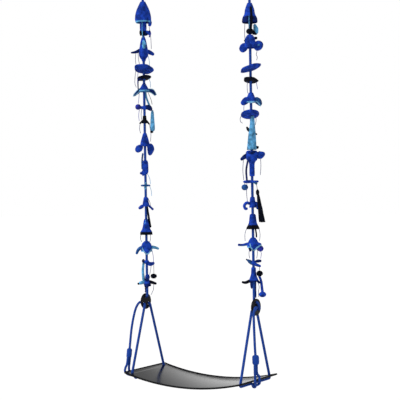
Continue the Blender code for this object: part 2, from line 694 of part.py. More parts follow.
def run_path(side, start, end):
    """The run under the seat, with the dip where the tail's eye is hitched round it."""
    hitch_y = HITCH_FROM_FRONT[side] - HOLE_Y
    path = [(ROPE_X, start, RUN_Z)]
    for i in range(-HITCH_STEPS, HITCH_STEPS + 1):
        share = (1 + math.cos(math.pi * i / HITCH_STEPS)) / 2
        path.append((ROPE_X + HITCH_OUT * share, hitch_y + HITCH_REACH * i / HITCH_STEPS,
                     RUN_Z + (HITCH_Z - RUN_Z) * share))
    return path + [(ROPE_X, end, RUN_Z)]


def add_bridle(side):
    """Rope from the disc to the seat: the two legs and the run under the seat between them."""
    lead = UNDER_BEND * 2
    run_start = leg_foot(-1).y + lead
    run_end = leg_foot(1).y - lead
    front = [(DISC_X - GAP / 2, -LOW_HOLE_OUT, DISC_LOW_Z), (ROPE_X, -LOW_HOLE_OUT, DISC_LOW_Z)]
    back = [(DISC_X + GAP / 2, 0, DISC_TOP_Z), (OUTER_X, 0, DISC_TOP_Z),
            (OUTER_X, LOW_HOLE_OUT, DISC_LOW_Z), (ROPE_X, LOW_HOLE_OUT, DISC_LOW_Z)]
    paths = {
        "front_leg": leg_path(front, -1, run_start),
        "back_leg": leg_path(back, 1, run_end),
        "under_run": run_path(side, run_start + GAP, run_end - GAP),
    }
    for name, path in paths.items():
        rope = tube(side + "_" + name, [(SIDE_SIGN[side] * p[0], p[1], p[2]) for p in path], ROPE_DIA)
        paint(rope, ROPE_BLUE)
        add_part(rope, "seat")


def tail_path(side, eye_y):
    """The tail's centre line, from the disc's front hole to the top of its eye."""
    end_x = SEAT_LENGTH / 2 + TAIL_OUT
    eye_top = END_Z + TAIL_EYE_TOP
    start = Vector((DISC_X + GAP / 2, -LOW_HOLE_OUT, DISC_LOW_Z))
    route = [(DISC_X + TAIL_LEAD, -LOW_HOLE_OUT, DISC_LOW_Z)]
    for drop, way, out in TAIL_ROUTE[side]:
        route.append((end_x + out, -LOW_HOLE_OUT + (eye_y + LOW_HOLE_OUT) * way,
                      DISC_LOW_Z + (eye_top - DISC_LOW_Z) * drop))
    route.append((end_x, eye_y, eye_top))
    return [start] + along(route, TAIL_STEPS)


def eye_path(side, hitch_y):
    """The closed loop at the tail's foot, round the seat's end and under the rope there."""
    end_x = SEAT_LENGTH / 2 + TAIL_OUT
    half = TAIL_EYE_HALF_WIDTH[side]
    narrow = half * TAIL_EYE_SHOULDER
    lean = TAIL_EYE_WIDEST_FORWARD[side]
    top = (end_x, -TAIL_EYE_FORWARD[side], END_Z + TAIL_EYE_TOP)
    bottom = (ROPE_X + HITCH_OUT + ROPE_R + FIT + HITCH_WIRE, 0, HITCH_Z + HITCH_RISE)
    legs = {}
    for sign in (-1, 1):
        legs[sign] = [(end_x, sign * narrow - lean, END_Z + TAIL_EYE_SHOULDER_UP),
                      (end_x, sign * half - lean, END_Z - TAIL_EYE_WIDEST_DOWN),
                      (end_x - TAIL_EYE_TURN_IN, sign * narrow - lean / 2, END_Z - TAIL_EYE_TURN_DOWN)]
    loop = [top] + legs[1] + [bottom] + legs[-1][::-1] + [top]
    return [(p.x, p.y + hitch_y, p.z) for p in along(loop, 3)[:-1]]


def circle(centre, radius, points):
    """Points of a circle in the XZ plane."""
    turns = [2 * math.pi * i / points for i in range(points)]
    x, y, z = centre
    return [(x + radius * math.cos(turn), y, z + radius * math.sin(turn)) for turn in turns]


def add_tail(side):
    """The slack end: it leaves the disc outside, runs into its splice and is hitched under the seat."""
    hitch_y = HITCH_FROM_FRONT[side] - HOLE_Y
    path = tail_path(side, hitch_y - TAIL_EYE_FORWARD[side])
    splice_z = END_Z + TAIL_EYE_TOP + SPLICE_UP[side]
    swell = []
    for point in path:
        bulge = max(0.0, 1 - (abs(point.z - splice_z) / SPLICE_HALF) ** SPLICE_SQUARENESS)
        least = DOUBLED_DIA if point.z < splice_z else TAIL_DIA
        swell.append(max(least / TAIL_DIA, 1 + (SPLICE_DIA[side] / TAIL_DIA - 1) * bulge))
    collar = circle((ROPE_X + HITCH_OUT, hitch_y, HITCH_Z), ROPE_R + FIT * 2 + HITCH_WIRE / 2, SIDES)
    tail = tube(side + "_tail", path, TAIL_DIA, swell)
    eye = tube(side + "_tail_eye", eye_path(side, hitch_y), TAIL_EYE_DIA, cyclic=True, resolution=1)
    hitch = tube(side + "_tail_hitch", collar, HITCH_WIRE, cyclic=True, resolution=1)
    solids = [bake(hold(piece)) for piece in (tail, eye, hitch)]
    rope = combine(solids[0], solids[1:], "UNION")
    if side == "left":
        rope.data.transform(Matrix.Diagonal((-1, 1, 1, 1)))
        rope.data.flip_normals()
    paint(rope, ROPE_BLUE)
    smooth_shade(rope)
    add_part(rope, "seat")


def add_ropes(side):
    """The ornamented rope, and its foot that flexes on a round end between it and the disc."""
    sign = SIDE_SIGN[side]
    x = sign * ROPE_X
    rope = tube(side + "_main_rope", [(x, 0, SPLICE_FOOT_Z - GAP), (x, 0, FLEX_Z + ROPE_R + GAP)], ROPE_DIA)
    paint(rope, ROPE_BLUE)
    add_part(rope, side + "_strand")
    turns = [math.radians(angle) for angle in range(86, 0, -24)]
    dome = [(x, 0, FLEX_Z + ROPE_R * math.sin(turn)) for turn in turns]
    bend = rounded([(x, 0, FLEX_Z - ROPE_R), (x, 0, DISC_TOP_Z), (sign * (DISC_X - GAP / 2), 0, DISC_TOP_Z)],
                   DISC_BEND)
    shares = [math.cos(turn) for turn in turns] + [1] * len(bend)
    foot = tube(side + "_rope_foot", dome + bend, ROPE_DIA, shares)
    paint(foot, ROPE_BLUE)
    add_part(foot, "carrier")


def add_top_eye(side):
    """The rope's upper end: an eye round the thimble, closed by a tapered splice."""
    x = SIDE_SIGN[side] * ROPE_X
    leg = ROPE_R + GAP
    fork = Vector((leg, -TOP_EYE_DROP))
    touch = math.atan2(fork.y, fork.x) + math.acos(TOP_EYE_RADIUS / fork.length)
    sweep = math.pi - 2 * touch
    steps = 12
    arc = []
    for i in range(steps + 1):
        turn = touch + sweep * i / steps
        arc.append((x + TOP_EYE_RADIUS * math.cos(turn), 0, THIMBLE_Z + TOP_EYE_RADIUS * math.sin(turn)))
    ends = [(leg, SPLICE_TOP_Z - ROPE_R), (leg, SPLICE_TOP_Z + ROPE_R)]
    path = [(x + reach, 0, z) for reach, z in ends] + arc
    path += [(x - reach, 0, z) for reach, z in reversed(ends)]
    loop = bake(hold(tube(side + "_top_eye", path, ROPE_DIA)))
    wide = leg + ROPE_R
    sleeve = turned(side + "_splice", [(0, SPLICE_TOP_Z), (wide, SPLICE_TOP_Z),
                                       (wide + SPLICE_COVER, SPLICE_TOP_Z - SPLICE_SHOULDER),
                                       (ROPE_R + SPLICE_COVER, SPLICE_FOOT_Z), (0, SPLICE_FOOT_Z)])
    sleeve.location = (x, 0, 0)
    eye = combine(loop, [sleeve], "UNION")
    paint(eye, ROPE_BLUE)
    smooth_shade(eye)
    add_part(eye, side + "_strand")


def add_thimble(side):
    """A round channel that keeps the rope's eye open, its axis along Y."""
    back = GROOVE + THIMBLE_WALL
    turns = [THIMBLE_HUG * (1 - i / 2) for i in range(5)]
    profile = [(TOP_EYE_RADIUS - GROOVE * math.cos(turn), GROOVE * math.sin(turn)) for turn in turns]
    profile += [(TOP_EYE_RADIUS - back * math.cos(turn), back * math.sin(turn)) for turn in reversed(turns)]
    thimble = turned(side + "_thimble", profile, 16)
    thimble.data.transform(Matrix.Rotation(math.pi / 2, 4, "X"))
    paint(thimble, STEEL, 0.3, 1.0)
    smooth_shade(thimble)
    add_part(thimble, side + "_strand", (SIDE_SIGN[side] * ROPE_X, 0, THIMBLE_Z))


def add_link(side):
    """An oval link through the plate's ring, lying in the YZ plane."""
    wire = LINK_WIRE_DIA / 2
    half = LINK_INSIDE / 2 + wire
    high = RING_Z + RING_WIRE_DIA / 2 + GAP + wire - half
    low = LINK_Z + half
    steps = 6
    path = []
    for centre, first in ((high, 0), (low, math.pi)):
        for i in range(steps + 1):
            turn = first + math.pi * i / steps
            path.append((SIDE_SIGN[side] * ROPE_X, half * math.cos(turn), centre + half * math.sin(turn)))
    link = tube(side + "_link", path, LINK_WIRE_DIA, cyclic=True)
    paint(link, STEEL, 0.3, 1.0)
    add_part(link, "links")


def add_ceiling_plate(side):
    """A round plate with screw holes and a welded ring, its upper face on the ceiling."""
    middle = (0, 0, -PLATE_THICK / 2)
    plate = cylinder(side + "_ceiling_plate", PLATE_DIA / 2, PLATE_THICK, Matrix(), middle, 28)
    wire = circle((0, 0, -PLATE_THICK - RING_DIA / 2), RING_DIA / 2, 16)
    ring = bake(hold(tube(side + "_ring", wire, RING_WIRE_DIA, cyclic=True)))
    above = cylinder(side + "_trim", PLATE_DIA, PLATE_THICK, Matrix(), (0, 0, PLATE_THICK / 4))
    ring = combine(ring, [above], "DIFFERENCE")
    plate = combine(plate, [ring], "UNION")
    holes = []
    for i in range(4):
        place = around(45 + 90 * i, PLATE_HOLE_CIRCLE / 2, 0)
        holes.append(cylinder("plate_hole", PLATE_HOLE_DIA / 2, PLATE_THICK * 4, Matrix(), place))
    plate = combine(plate, holes, "DIFFERENCE")
    paint(plate, STEEL, 0.35, 1.0)
    smooth_shade(plate)
    add_part(plate, "hangers", (SIDE_SIGN[side] * ROPE_X, 0, 0))


add_empties()
for strand_side in SIDE_SIGN:
    add_ceiling_plate(strand_side)
    add_link(strand_side)
    add_thimble(strand_side)
    add_top_eye(strand_side)
    add_ropes(strand_side)
    add_disc_plate(strand_side)
    add_bridle(strand_side)
    add_tail(strand_side)
add_seat()
add_bells()
add_discs()
add_knots()
add_pendants()
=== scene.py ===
"""Looks of a rope swing: a bent black seat, braided blue ropes and crocheted ornaments on them."""

import json
import math
import random
from collections import defaultdict

import bmesh
import bpy
from mathutils import Matrix, Vector


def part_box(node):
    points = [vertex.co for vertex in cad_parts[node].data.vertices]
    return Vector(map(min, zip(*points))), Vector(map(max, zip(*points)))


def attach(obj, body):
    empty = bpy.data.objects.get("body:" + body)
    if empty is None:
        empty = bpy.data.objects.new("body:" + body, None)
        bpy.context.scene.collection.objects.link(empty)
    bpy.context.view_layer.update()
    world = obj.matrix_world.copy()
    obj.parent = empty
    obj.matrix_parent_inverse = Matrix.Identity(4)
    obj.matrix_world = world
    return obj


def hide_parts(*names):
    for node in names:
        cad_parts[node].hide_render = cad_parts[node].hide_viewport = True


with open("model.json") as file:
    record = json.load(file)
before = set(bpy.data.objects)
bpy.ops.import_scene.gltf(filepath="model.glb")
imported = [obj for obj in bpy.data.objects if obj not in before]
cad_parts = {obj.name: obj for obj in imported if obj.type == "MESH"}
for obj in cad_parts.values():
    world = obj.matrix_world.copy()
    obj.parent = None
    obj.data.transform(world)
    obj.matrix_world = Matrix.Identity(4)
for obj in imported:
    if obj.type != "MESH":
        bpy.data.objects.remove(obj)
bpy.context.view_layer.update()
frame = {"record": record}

MM = 0.001
SIDE_SIGN = {"left": -1, "right": 1}

# Rope and the play that the solids keep
ROPE_R = 0.005
TAIL_R = 0.0045
EYE_R = 0.0045
GAP = 0.0003
FIT = 0.0004
BEND_ROOM = 0.001

# Seat, from its solid
SEAT_LOW, SEAT_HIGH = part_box("seat_plate")
SEAT_LENGTH = 0.600
SEAT_DEPTH = SEAT_HIGH.y - SEAT_LOW.y
SEAT_SAG = 0.038
SEAT_THICK = 0.005
SEAT_CORNER = 0.008
SEAT_BOTTOM = SEAT_LOW.z
SEAT_TOP = SEAT_BOTTOM + SEAT_THICK
SEAT_HOLE_DIA = 0.0155
SEAT_DRILL = SEAT_THICK * 6
SEAT_SOFTENING = 0.9 * MM
# Edge bead round the top: partly the plate's own dark edge, partly a painted dark reflection
EDGE_BEAD_R = 0.0036
EDGE_BEAD_OUT = 0.0012
EDGE_BEAD_DROP = 0.0012
HOLE_INSET_X = 0.0215
HOLE_INSET_Y = 0.033
ARC_RADIUS = ((SEAT_LENGTH / 2) ** 2 + SEAT_SAG ** 2) / (2 * SEAT_SAG)
ROPE_X = SEAT_LENGTH / 2 - HOLE_INSET_X
HOLE_Y = SEAT_DEPTH / 2 - HOLE_INSET_Y

# Three-hole discs, from their solids
DISC_LOW, DISC_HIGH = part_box("right_disc")
DISC_R = (DISC_HIGH.z - DISC_LOW.z) / 2
DISC_THICK = DISC_HIGH.x - DISC_LOW.x
DISC_X = (DISC_HIGH.x + DISC_LOW.x) / 2
DISC_Z = (DISC_HIGH.z + DISC_LOW.z) / 2
DISC_EDGE_Z = DISC_HIGH.z
DISC_HOLE_DIA = 0.0155
DISC_HOLE_EDGE = 0.0065
DISC_DRILL = DISC_THICK * 4
DISC_SOFTENING = 1.2 * MM
DISC_PITCH = DISC_R - DISC_HOLE_EDGE - DISC_HOLE_DIA / 2
LOW_HOLE_ANGLE = math.radians(30)
LOW_HOLE_OUT = DISC_PITCH * math.cos(LOW_HOLE_ANGLE)
DISC_TOP_Z = DISC_Z + DISC_PITCH
DISC_LOW_Z = DISC_Z - DISC_PITCH * math.sin(LOW_HOLE_ANGLE)
OUTER_X = 2 * DISC_X - ROPE_X
DISC_BEND = DISC_X - ROPE_X - BEND_ROOM
UNDER_BEND = ROPE_R + BEND_ROOM

# Rope ends: where the foot flexes and where the top splice stops
FLEX_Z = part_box("right_main_rope")[0].z - ROPE_R - GAP
SPLICE_FOOT_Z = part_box("right_main_rope")[1].z + GAP

# Tail: its eye's distance from the seat's end, and its route from the disc to its eye as (share of the
# drop, share of the way forward, distance outside the eye)
TAIL_OUT = 0.0085
TAIL_LEAD = 0.0015
TAIL_ROUTE = {
    "left": ((0.0, 0.0, -0.0145), (-0.025, 0.03, -0.0035), (0.06, 0.12, 0.0105), (0.22, 0.27, 0.016),
             (0.43, 0.47, 0.0155), (0.67, 0.66, 0.0115), (0.84, 0.80, 0.0075)),
    "right": ((0.0, 0.0, -0.0140), (-0.040, 0.10, -0.006), (-0.043, 0.50, -0.005), (0.006, 0.79, -0.007),
              (0.093, 0.90, -0.0080), (0.55, 0.86, -0.0055), (0.79, 1.0, 0.0)),
}
TAIL_SPLICE_R = {"left": 0.012, "right": 0.0145}
TAIL_SPLICE_UP = {"left": 0.041, "right": 0.053}
TAIL_SPLICE_HALF = 0.020
TAIL_SPLICE_SQUARENESS = 6
TAIL_CORE_R = 0.0025

# Eye at the tail's foot: two strands side by side out of the splice, then the loop
EYE_STRAND_OUT = 0.008
EYE_TOP = 0.032
EYE_HALF = {"left": 0.0145, "right": 0.018}
EYE_FORWARD = {"left": 0.019, "right": 0.027}
EYE_WIDEST_FORWARD = {"left": 0.027, "right": 0.017}
EYE_SHOULDER = 0.85
EYE_SHOULDER_UP = 0.014
EYE_WIDEST_DOWN = 0.002
EYE_TURN_DOWN = 0.016
EYE_TURN_IN = 0.004
HITCH_FROM_FRONT = {"left": 0.030, "right": 0.100}
HITCH_REACH = 0.018
HITCH_ROOM = 0.003
HITCH_OUT = 0.004
HITCH_WIRE = 0.006
HITCH_RISE = 0.002

# Ceiling fittings
PLATE_DIA = 0.070
PLATE_THICK = 0.006
PLATE_HOLE_CIRCLE = 0.050
PLATE_SOFTENING = 0.8 * MM
SCREW_ANGLES = [math.radians(degrees) for degrees in (45, 135, 225, 315)]
SCREW_FACE_R = 4.2 * MM
SCREW_BASE_R = 5.0 * MM
SCREW_HEAD = 2.0 * MM
SCREW_SOFTENING = 0.5 * MM
SCREW_SLOT = (12 * MM, 1.2 * MM, 1.6 * MM, 1)
RING_R = 0.014
RING_WIRE_R = 0.004
LINK_WIRE_R = 0.0035
THIMBLE_BORE = 0.022
THIMBLE_WALL = 0.0025
THIMBLE_HUG = math.radians(70)
TOP_EYE_DROP = 0.050

# Top splice: its length, step, how far the twine lies in, and its thin top with how soon it thickens
SPLICE_LENGTH = 0.060
SPLICE_STEP = 1.0 * MM
SPLICE_INSET = 0.2 * MM
SPLICE_TOP_SHARE = 0.75
SPLICE_GROWTH = 4

# Navy cord laced along each rope's foot: points (across, height above the discs' upper edge) in millimetres
FOOT_CORD = {
    "left": [(-6.5, 26.5), (-8, 20), (-6.5, 14), (-8, 8), (-6.5, 3)],
    "right": [(7, 37), (7.5, 20), (7, 3)],
}
FOOT_CORD_HALF = 2.8 * MM

# Braid: length of a crossing, relief, how far soft strands stand past the firm rope, step along it, points
# round it and crossings round it
BRAID_ROW = 3.6 * MM
BRAID_RELIEF = 0.5 * MM
BRAID_SWELL = 0.6 * MM
BRAID_STEP = 1.2 * MM
BRAID_AROUND = 32
BRAID_TURNS = 4

# Whipping twine round a splice: width of a turn, relief and points round it
TWINE_ROW = 3.2 * MM
TWINE_RELIEF = 0.8 * MM
TWINE_AROUND = 28

# Smooth bars of metal: step along them, points round them and a relief too small to see
METAL_STEP = 1.2 * MM
METAL_AROUND = 24
METAL_RELIEF = 0.001 * MM

# Yarn work: stitch width, row height, relief, wall, and step along a piece
STITCH = 4.2 * MM
ROW = 4.4 * MM
RELIEF = 0.55 * MM
WALL = 3.0 * MM
BORE = ROPE_R - 0.2 * MM
FINE = 0.9 * MM

# Stitch: the height it never falls below, what its loop adds, and the lean of the loop across its row
STITCH_FLOOR = 0.7
STITCH_LOOP = 0.3
LOOP_LEAN = 1.6

# Turned yarn work: fewest steps of a spin, steps for each stitch, fewest stitches, and slack in counting rows
SPIN_FEWEST = 18
SPIN_PER_STITCH = 3
STITCHES_FEWEST = 5
ROW_SLACK = 0.0001

# Bell: rise of its crown as a share of the crown's radius, the crown's shoulder, and how coarse its inside is
CROWN_SHARE = 0.15
SHOULDER_SHARE = 0.8
SHOULDER_DROP = 0.5 * MM
INSIDE_EVERY = 4
NO_RIM = 999

# Leaf: rounded end as a share of its length, points for each stitch round it, fewest stitches, deepest relief
# as a share of its half width
LEAF_CAP = 0.35
LEAF_PER_STITCH = 4
LEAF_STITCHES = 3
LEAF_RELIEF = 0.25

# Flat rounds and balls: steps round an edge and fewest steps from pole to pole
EDGE_STEPS = 12
BALL_FEWEST = 8

# Pompom: core and tuft sizes as shares of its half width, scatter, and the tufts' yarn
POMPOM_CORE = 0.82
POMPOM_TUFTS = 260
POMPOM_SCATTER = 0.2
TUFT_MIDDLE = (0.80, 0.88)
TUFT_LENGTH = 0.34
TUFT_ROOT_R = 1.1 * MM
TUFT_TIP_R = 0.6 * MM
TUFT_SIDES = 5
GOLDEN_TURN = math.pi * (3 - math.sqrt(5))

# Tassel's skirt, in millimetres: radius at its neck, growth to its hem and how that grows, sway of a strand
FRINGE_SEED = 11
FRINGE_STRANDS = 64
FRINGE_BENDS = 6
FRINGE_NECK = 4.0
FRINGE_FLARE = 9.4
FRINGE_FLARE_POWER = 0.8
FRINGE_SWAY = 0.7
FRINGE_SHORTEST = 0.96
FRINGE_STEP = 6 * MM
FRINGE_SIDES = 5
NO_FRINGE = (0, 1, 0)

# Loose yarn and thread: size, faint relief, step along them and points round them
LOOSE_R = 1.1 * MM
LOOSE_RELIEF = 0.05 * MM
LOOSE_STEP = 2 * MM
LOOSE_SIDES = 8
THREAD_R = 1.15 * MM
THREAD_STEP = 3 * MM
THREAD_ROUNDNESS = 2

# How finely curves are cut, when an edge counts as sharp and a path as steep, how near points are merged, and
# half the side of a new grid
CURVE_STEPS = 24
CORNER_STEPS = 8
RUN_STEPS = 200
COLLAR_STEPS = 40
RING_STEPS = 48
BOW_STEPS = 24
TOP_EYE_STEPS = 32
THIMBLE_STEPS = 16
THIMBLE_SPIN = 64
SEAT_STEPS = 72
SEAT_CORNER_STEPS = 6
ROUND_SEGMENTS = 96
DRILL_SEGMENTS = 40
SCREW_SEGMENTS = 36
SOFT_STEPS = 3
SOFT_FROM = math.radians(35)
SHARP_FROM = math.radians(50)
STEEP = 0.7
SEAM = 0.02 * MM
CUT_SEAM = 0.01 * MM
GRID_HALF = 0.5

# Directions: the frame's, and across and away from a rope as the camera sees it
ALONG = Vector((1, 0, 0))
BACK = Vector((0, 1, 0))
UP = Vector((0, 0, 1))
RIGHTWARD = math.radians(35)
ACROSS = Vector((math.cos(RIGHTWARD), math.sin(RIGHTWARD), 0))
AWAY = Vector((-math.sin(RIGHTWARD), math.cos(RIGHTWARD), 0))

# Camera fitted to the seat's corners, rope holes, discs and ropes
CAMERA_PLACE = Vector((2.446, -3.539, -1.119))
CAMERA_YAW = math.radians(34.49)
CAMERA_ROLL = math.radians(-0.877)
CAMERA_LENS = 90
CAMERA_SENSOR = 36
CAMERA_REACH = 200

# Light: even light from all round, how much dimmer mirrors see it overhead and from which rise, and the lamp
AMBIENT = 0.55
OVERHEAD_DIMMING = 0.48
DIMMING_RISE = (0.08, 0.45)
LAMP_STRENGTH = 1.6
LAMP_FROM = Vector((-0.45, -0.70, 0.60))
LAMP_WIDTH = math.radians(25)

# Floor: its height, half width, roughness, mottled tones and how much it glows to the camera
FLOOR_Z = SEAT_BOTTOM - 0.45
FLOOR_HALF = 60
FLOOR_ROUGHNESS = 0.9
FLOOR_MOTTLE = 3.0
FLOOR_TONES = (0.79, 0.82)
FLOOR_GLOW = 0.36
WHITE = (1, 1, 1, 1)

# Kinds of node socket
COLOUR = "NodeSocketColor"
NUMBER = "NodeSocketFloat"

# Crochet pattern: plies in a stitch, patches of dye and painted shading, fuzz, and the tones and heights that
# they give
PLIES = 14
PLY_HEIGHT = 0.10
LOOP_TONES = (0.45, 1.0)
# Painted shade: the low parts of a stitch, in its gaps and between its plies, are coloured darker
GAP_SHADE_TONES = (0.50, 1.10)
# Dye patches: uneven dye, made strong enough to paint patches of shade and highlight too
DYE_AND_SHADING_SCALE = 60
DYE_AND_SHADING_DETAIL = 3.0
DYE_AND_SHADING_SPAN = (0.34, 0.66)
DYE_AND_SHADING_TONES = (0.45, 1.40)
FUZZ_SCALE = 900
FUZZ_TONES = (0.80, 1.20)
FUZZ_HEIGHT = 0.25
YARN_ROUGHNESS = (0.72, 0.98)

# Braid pattern: fibres along the strands, wear on the crowns, painted shade in the gaps, and the tones and
# heights that they give
FIBRE_SCALE = 700
FIBRE_DETAIL = 3.0
FIBRE_STRETCH = (1, 1, 0.3)
FIBRE_TONES = (0.85, 1.15)
FIBRE_HEIGHT = 0.3
# Painted shade: the gaps between the crossing strands are coloured darker
WEAVE_SHADE_TONES = (0.70, 1.10)
WORN_POWER = 3.0
WORN_SCALE = 18
ROPE_ROUGHNESS = (0.55, 0.85)

# Wear pattern: cloudy patches and hairline scuffs, and the share of each in the roughness
CLOUD_SCALE = 9
CLOUD_DETAIL = 5.0
CLOUD_SHARE = 0.6
HAIRLINE_SCALE = 60
HAIRLINE_DETAIL = 4.0
HAIRLINE_STRETCH = (1, 14, 1)
SCUFF_SPAN = (0.60, 0.78)
SCUFF_SHARE = 0.4

# Thread's worn tone: the share of its yarn's colour, and what is added
THREAD_FADE = 0.6
THREAD_PALE = 0.05

# Yarn colours as linear RGB
YARNS = {
    "cobalt": (0.0155, 0.070, 0.545, 1),
    "navy": (0.006, 0.022, 0.17, 1),
    "light_blue": (0.148, 0.49, 0.86, 1),
    "pale_blue": (0.27, 0.62, 0.93, 1),
    "teal": (0.028, 0.12, 0.40, 1),
    "violet": (0.040, 0.052, 0.45, 1),
    "black": (0.0035, 0.005, 0.014, 1),
}
YARN_SLOTS = {
    "cobalt": "yarn_blue",
    "navy": "yarn_blue",
    "light_blue": "yarn_light_blue",
    "pale_blue": "yarn_light_blue",
    "teal": "yarn_light_blue",
    "violet": "yarn_violet",
    "black": "yarn_black",
}

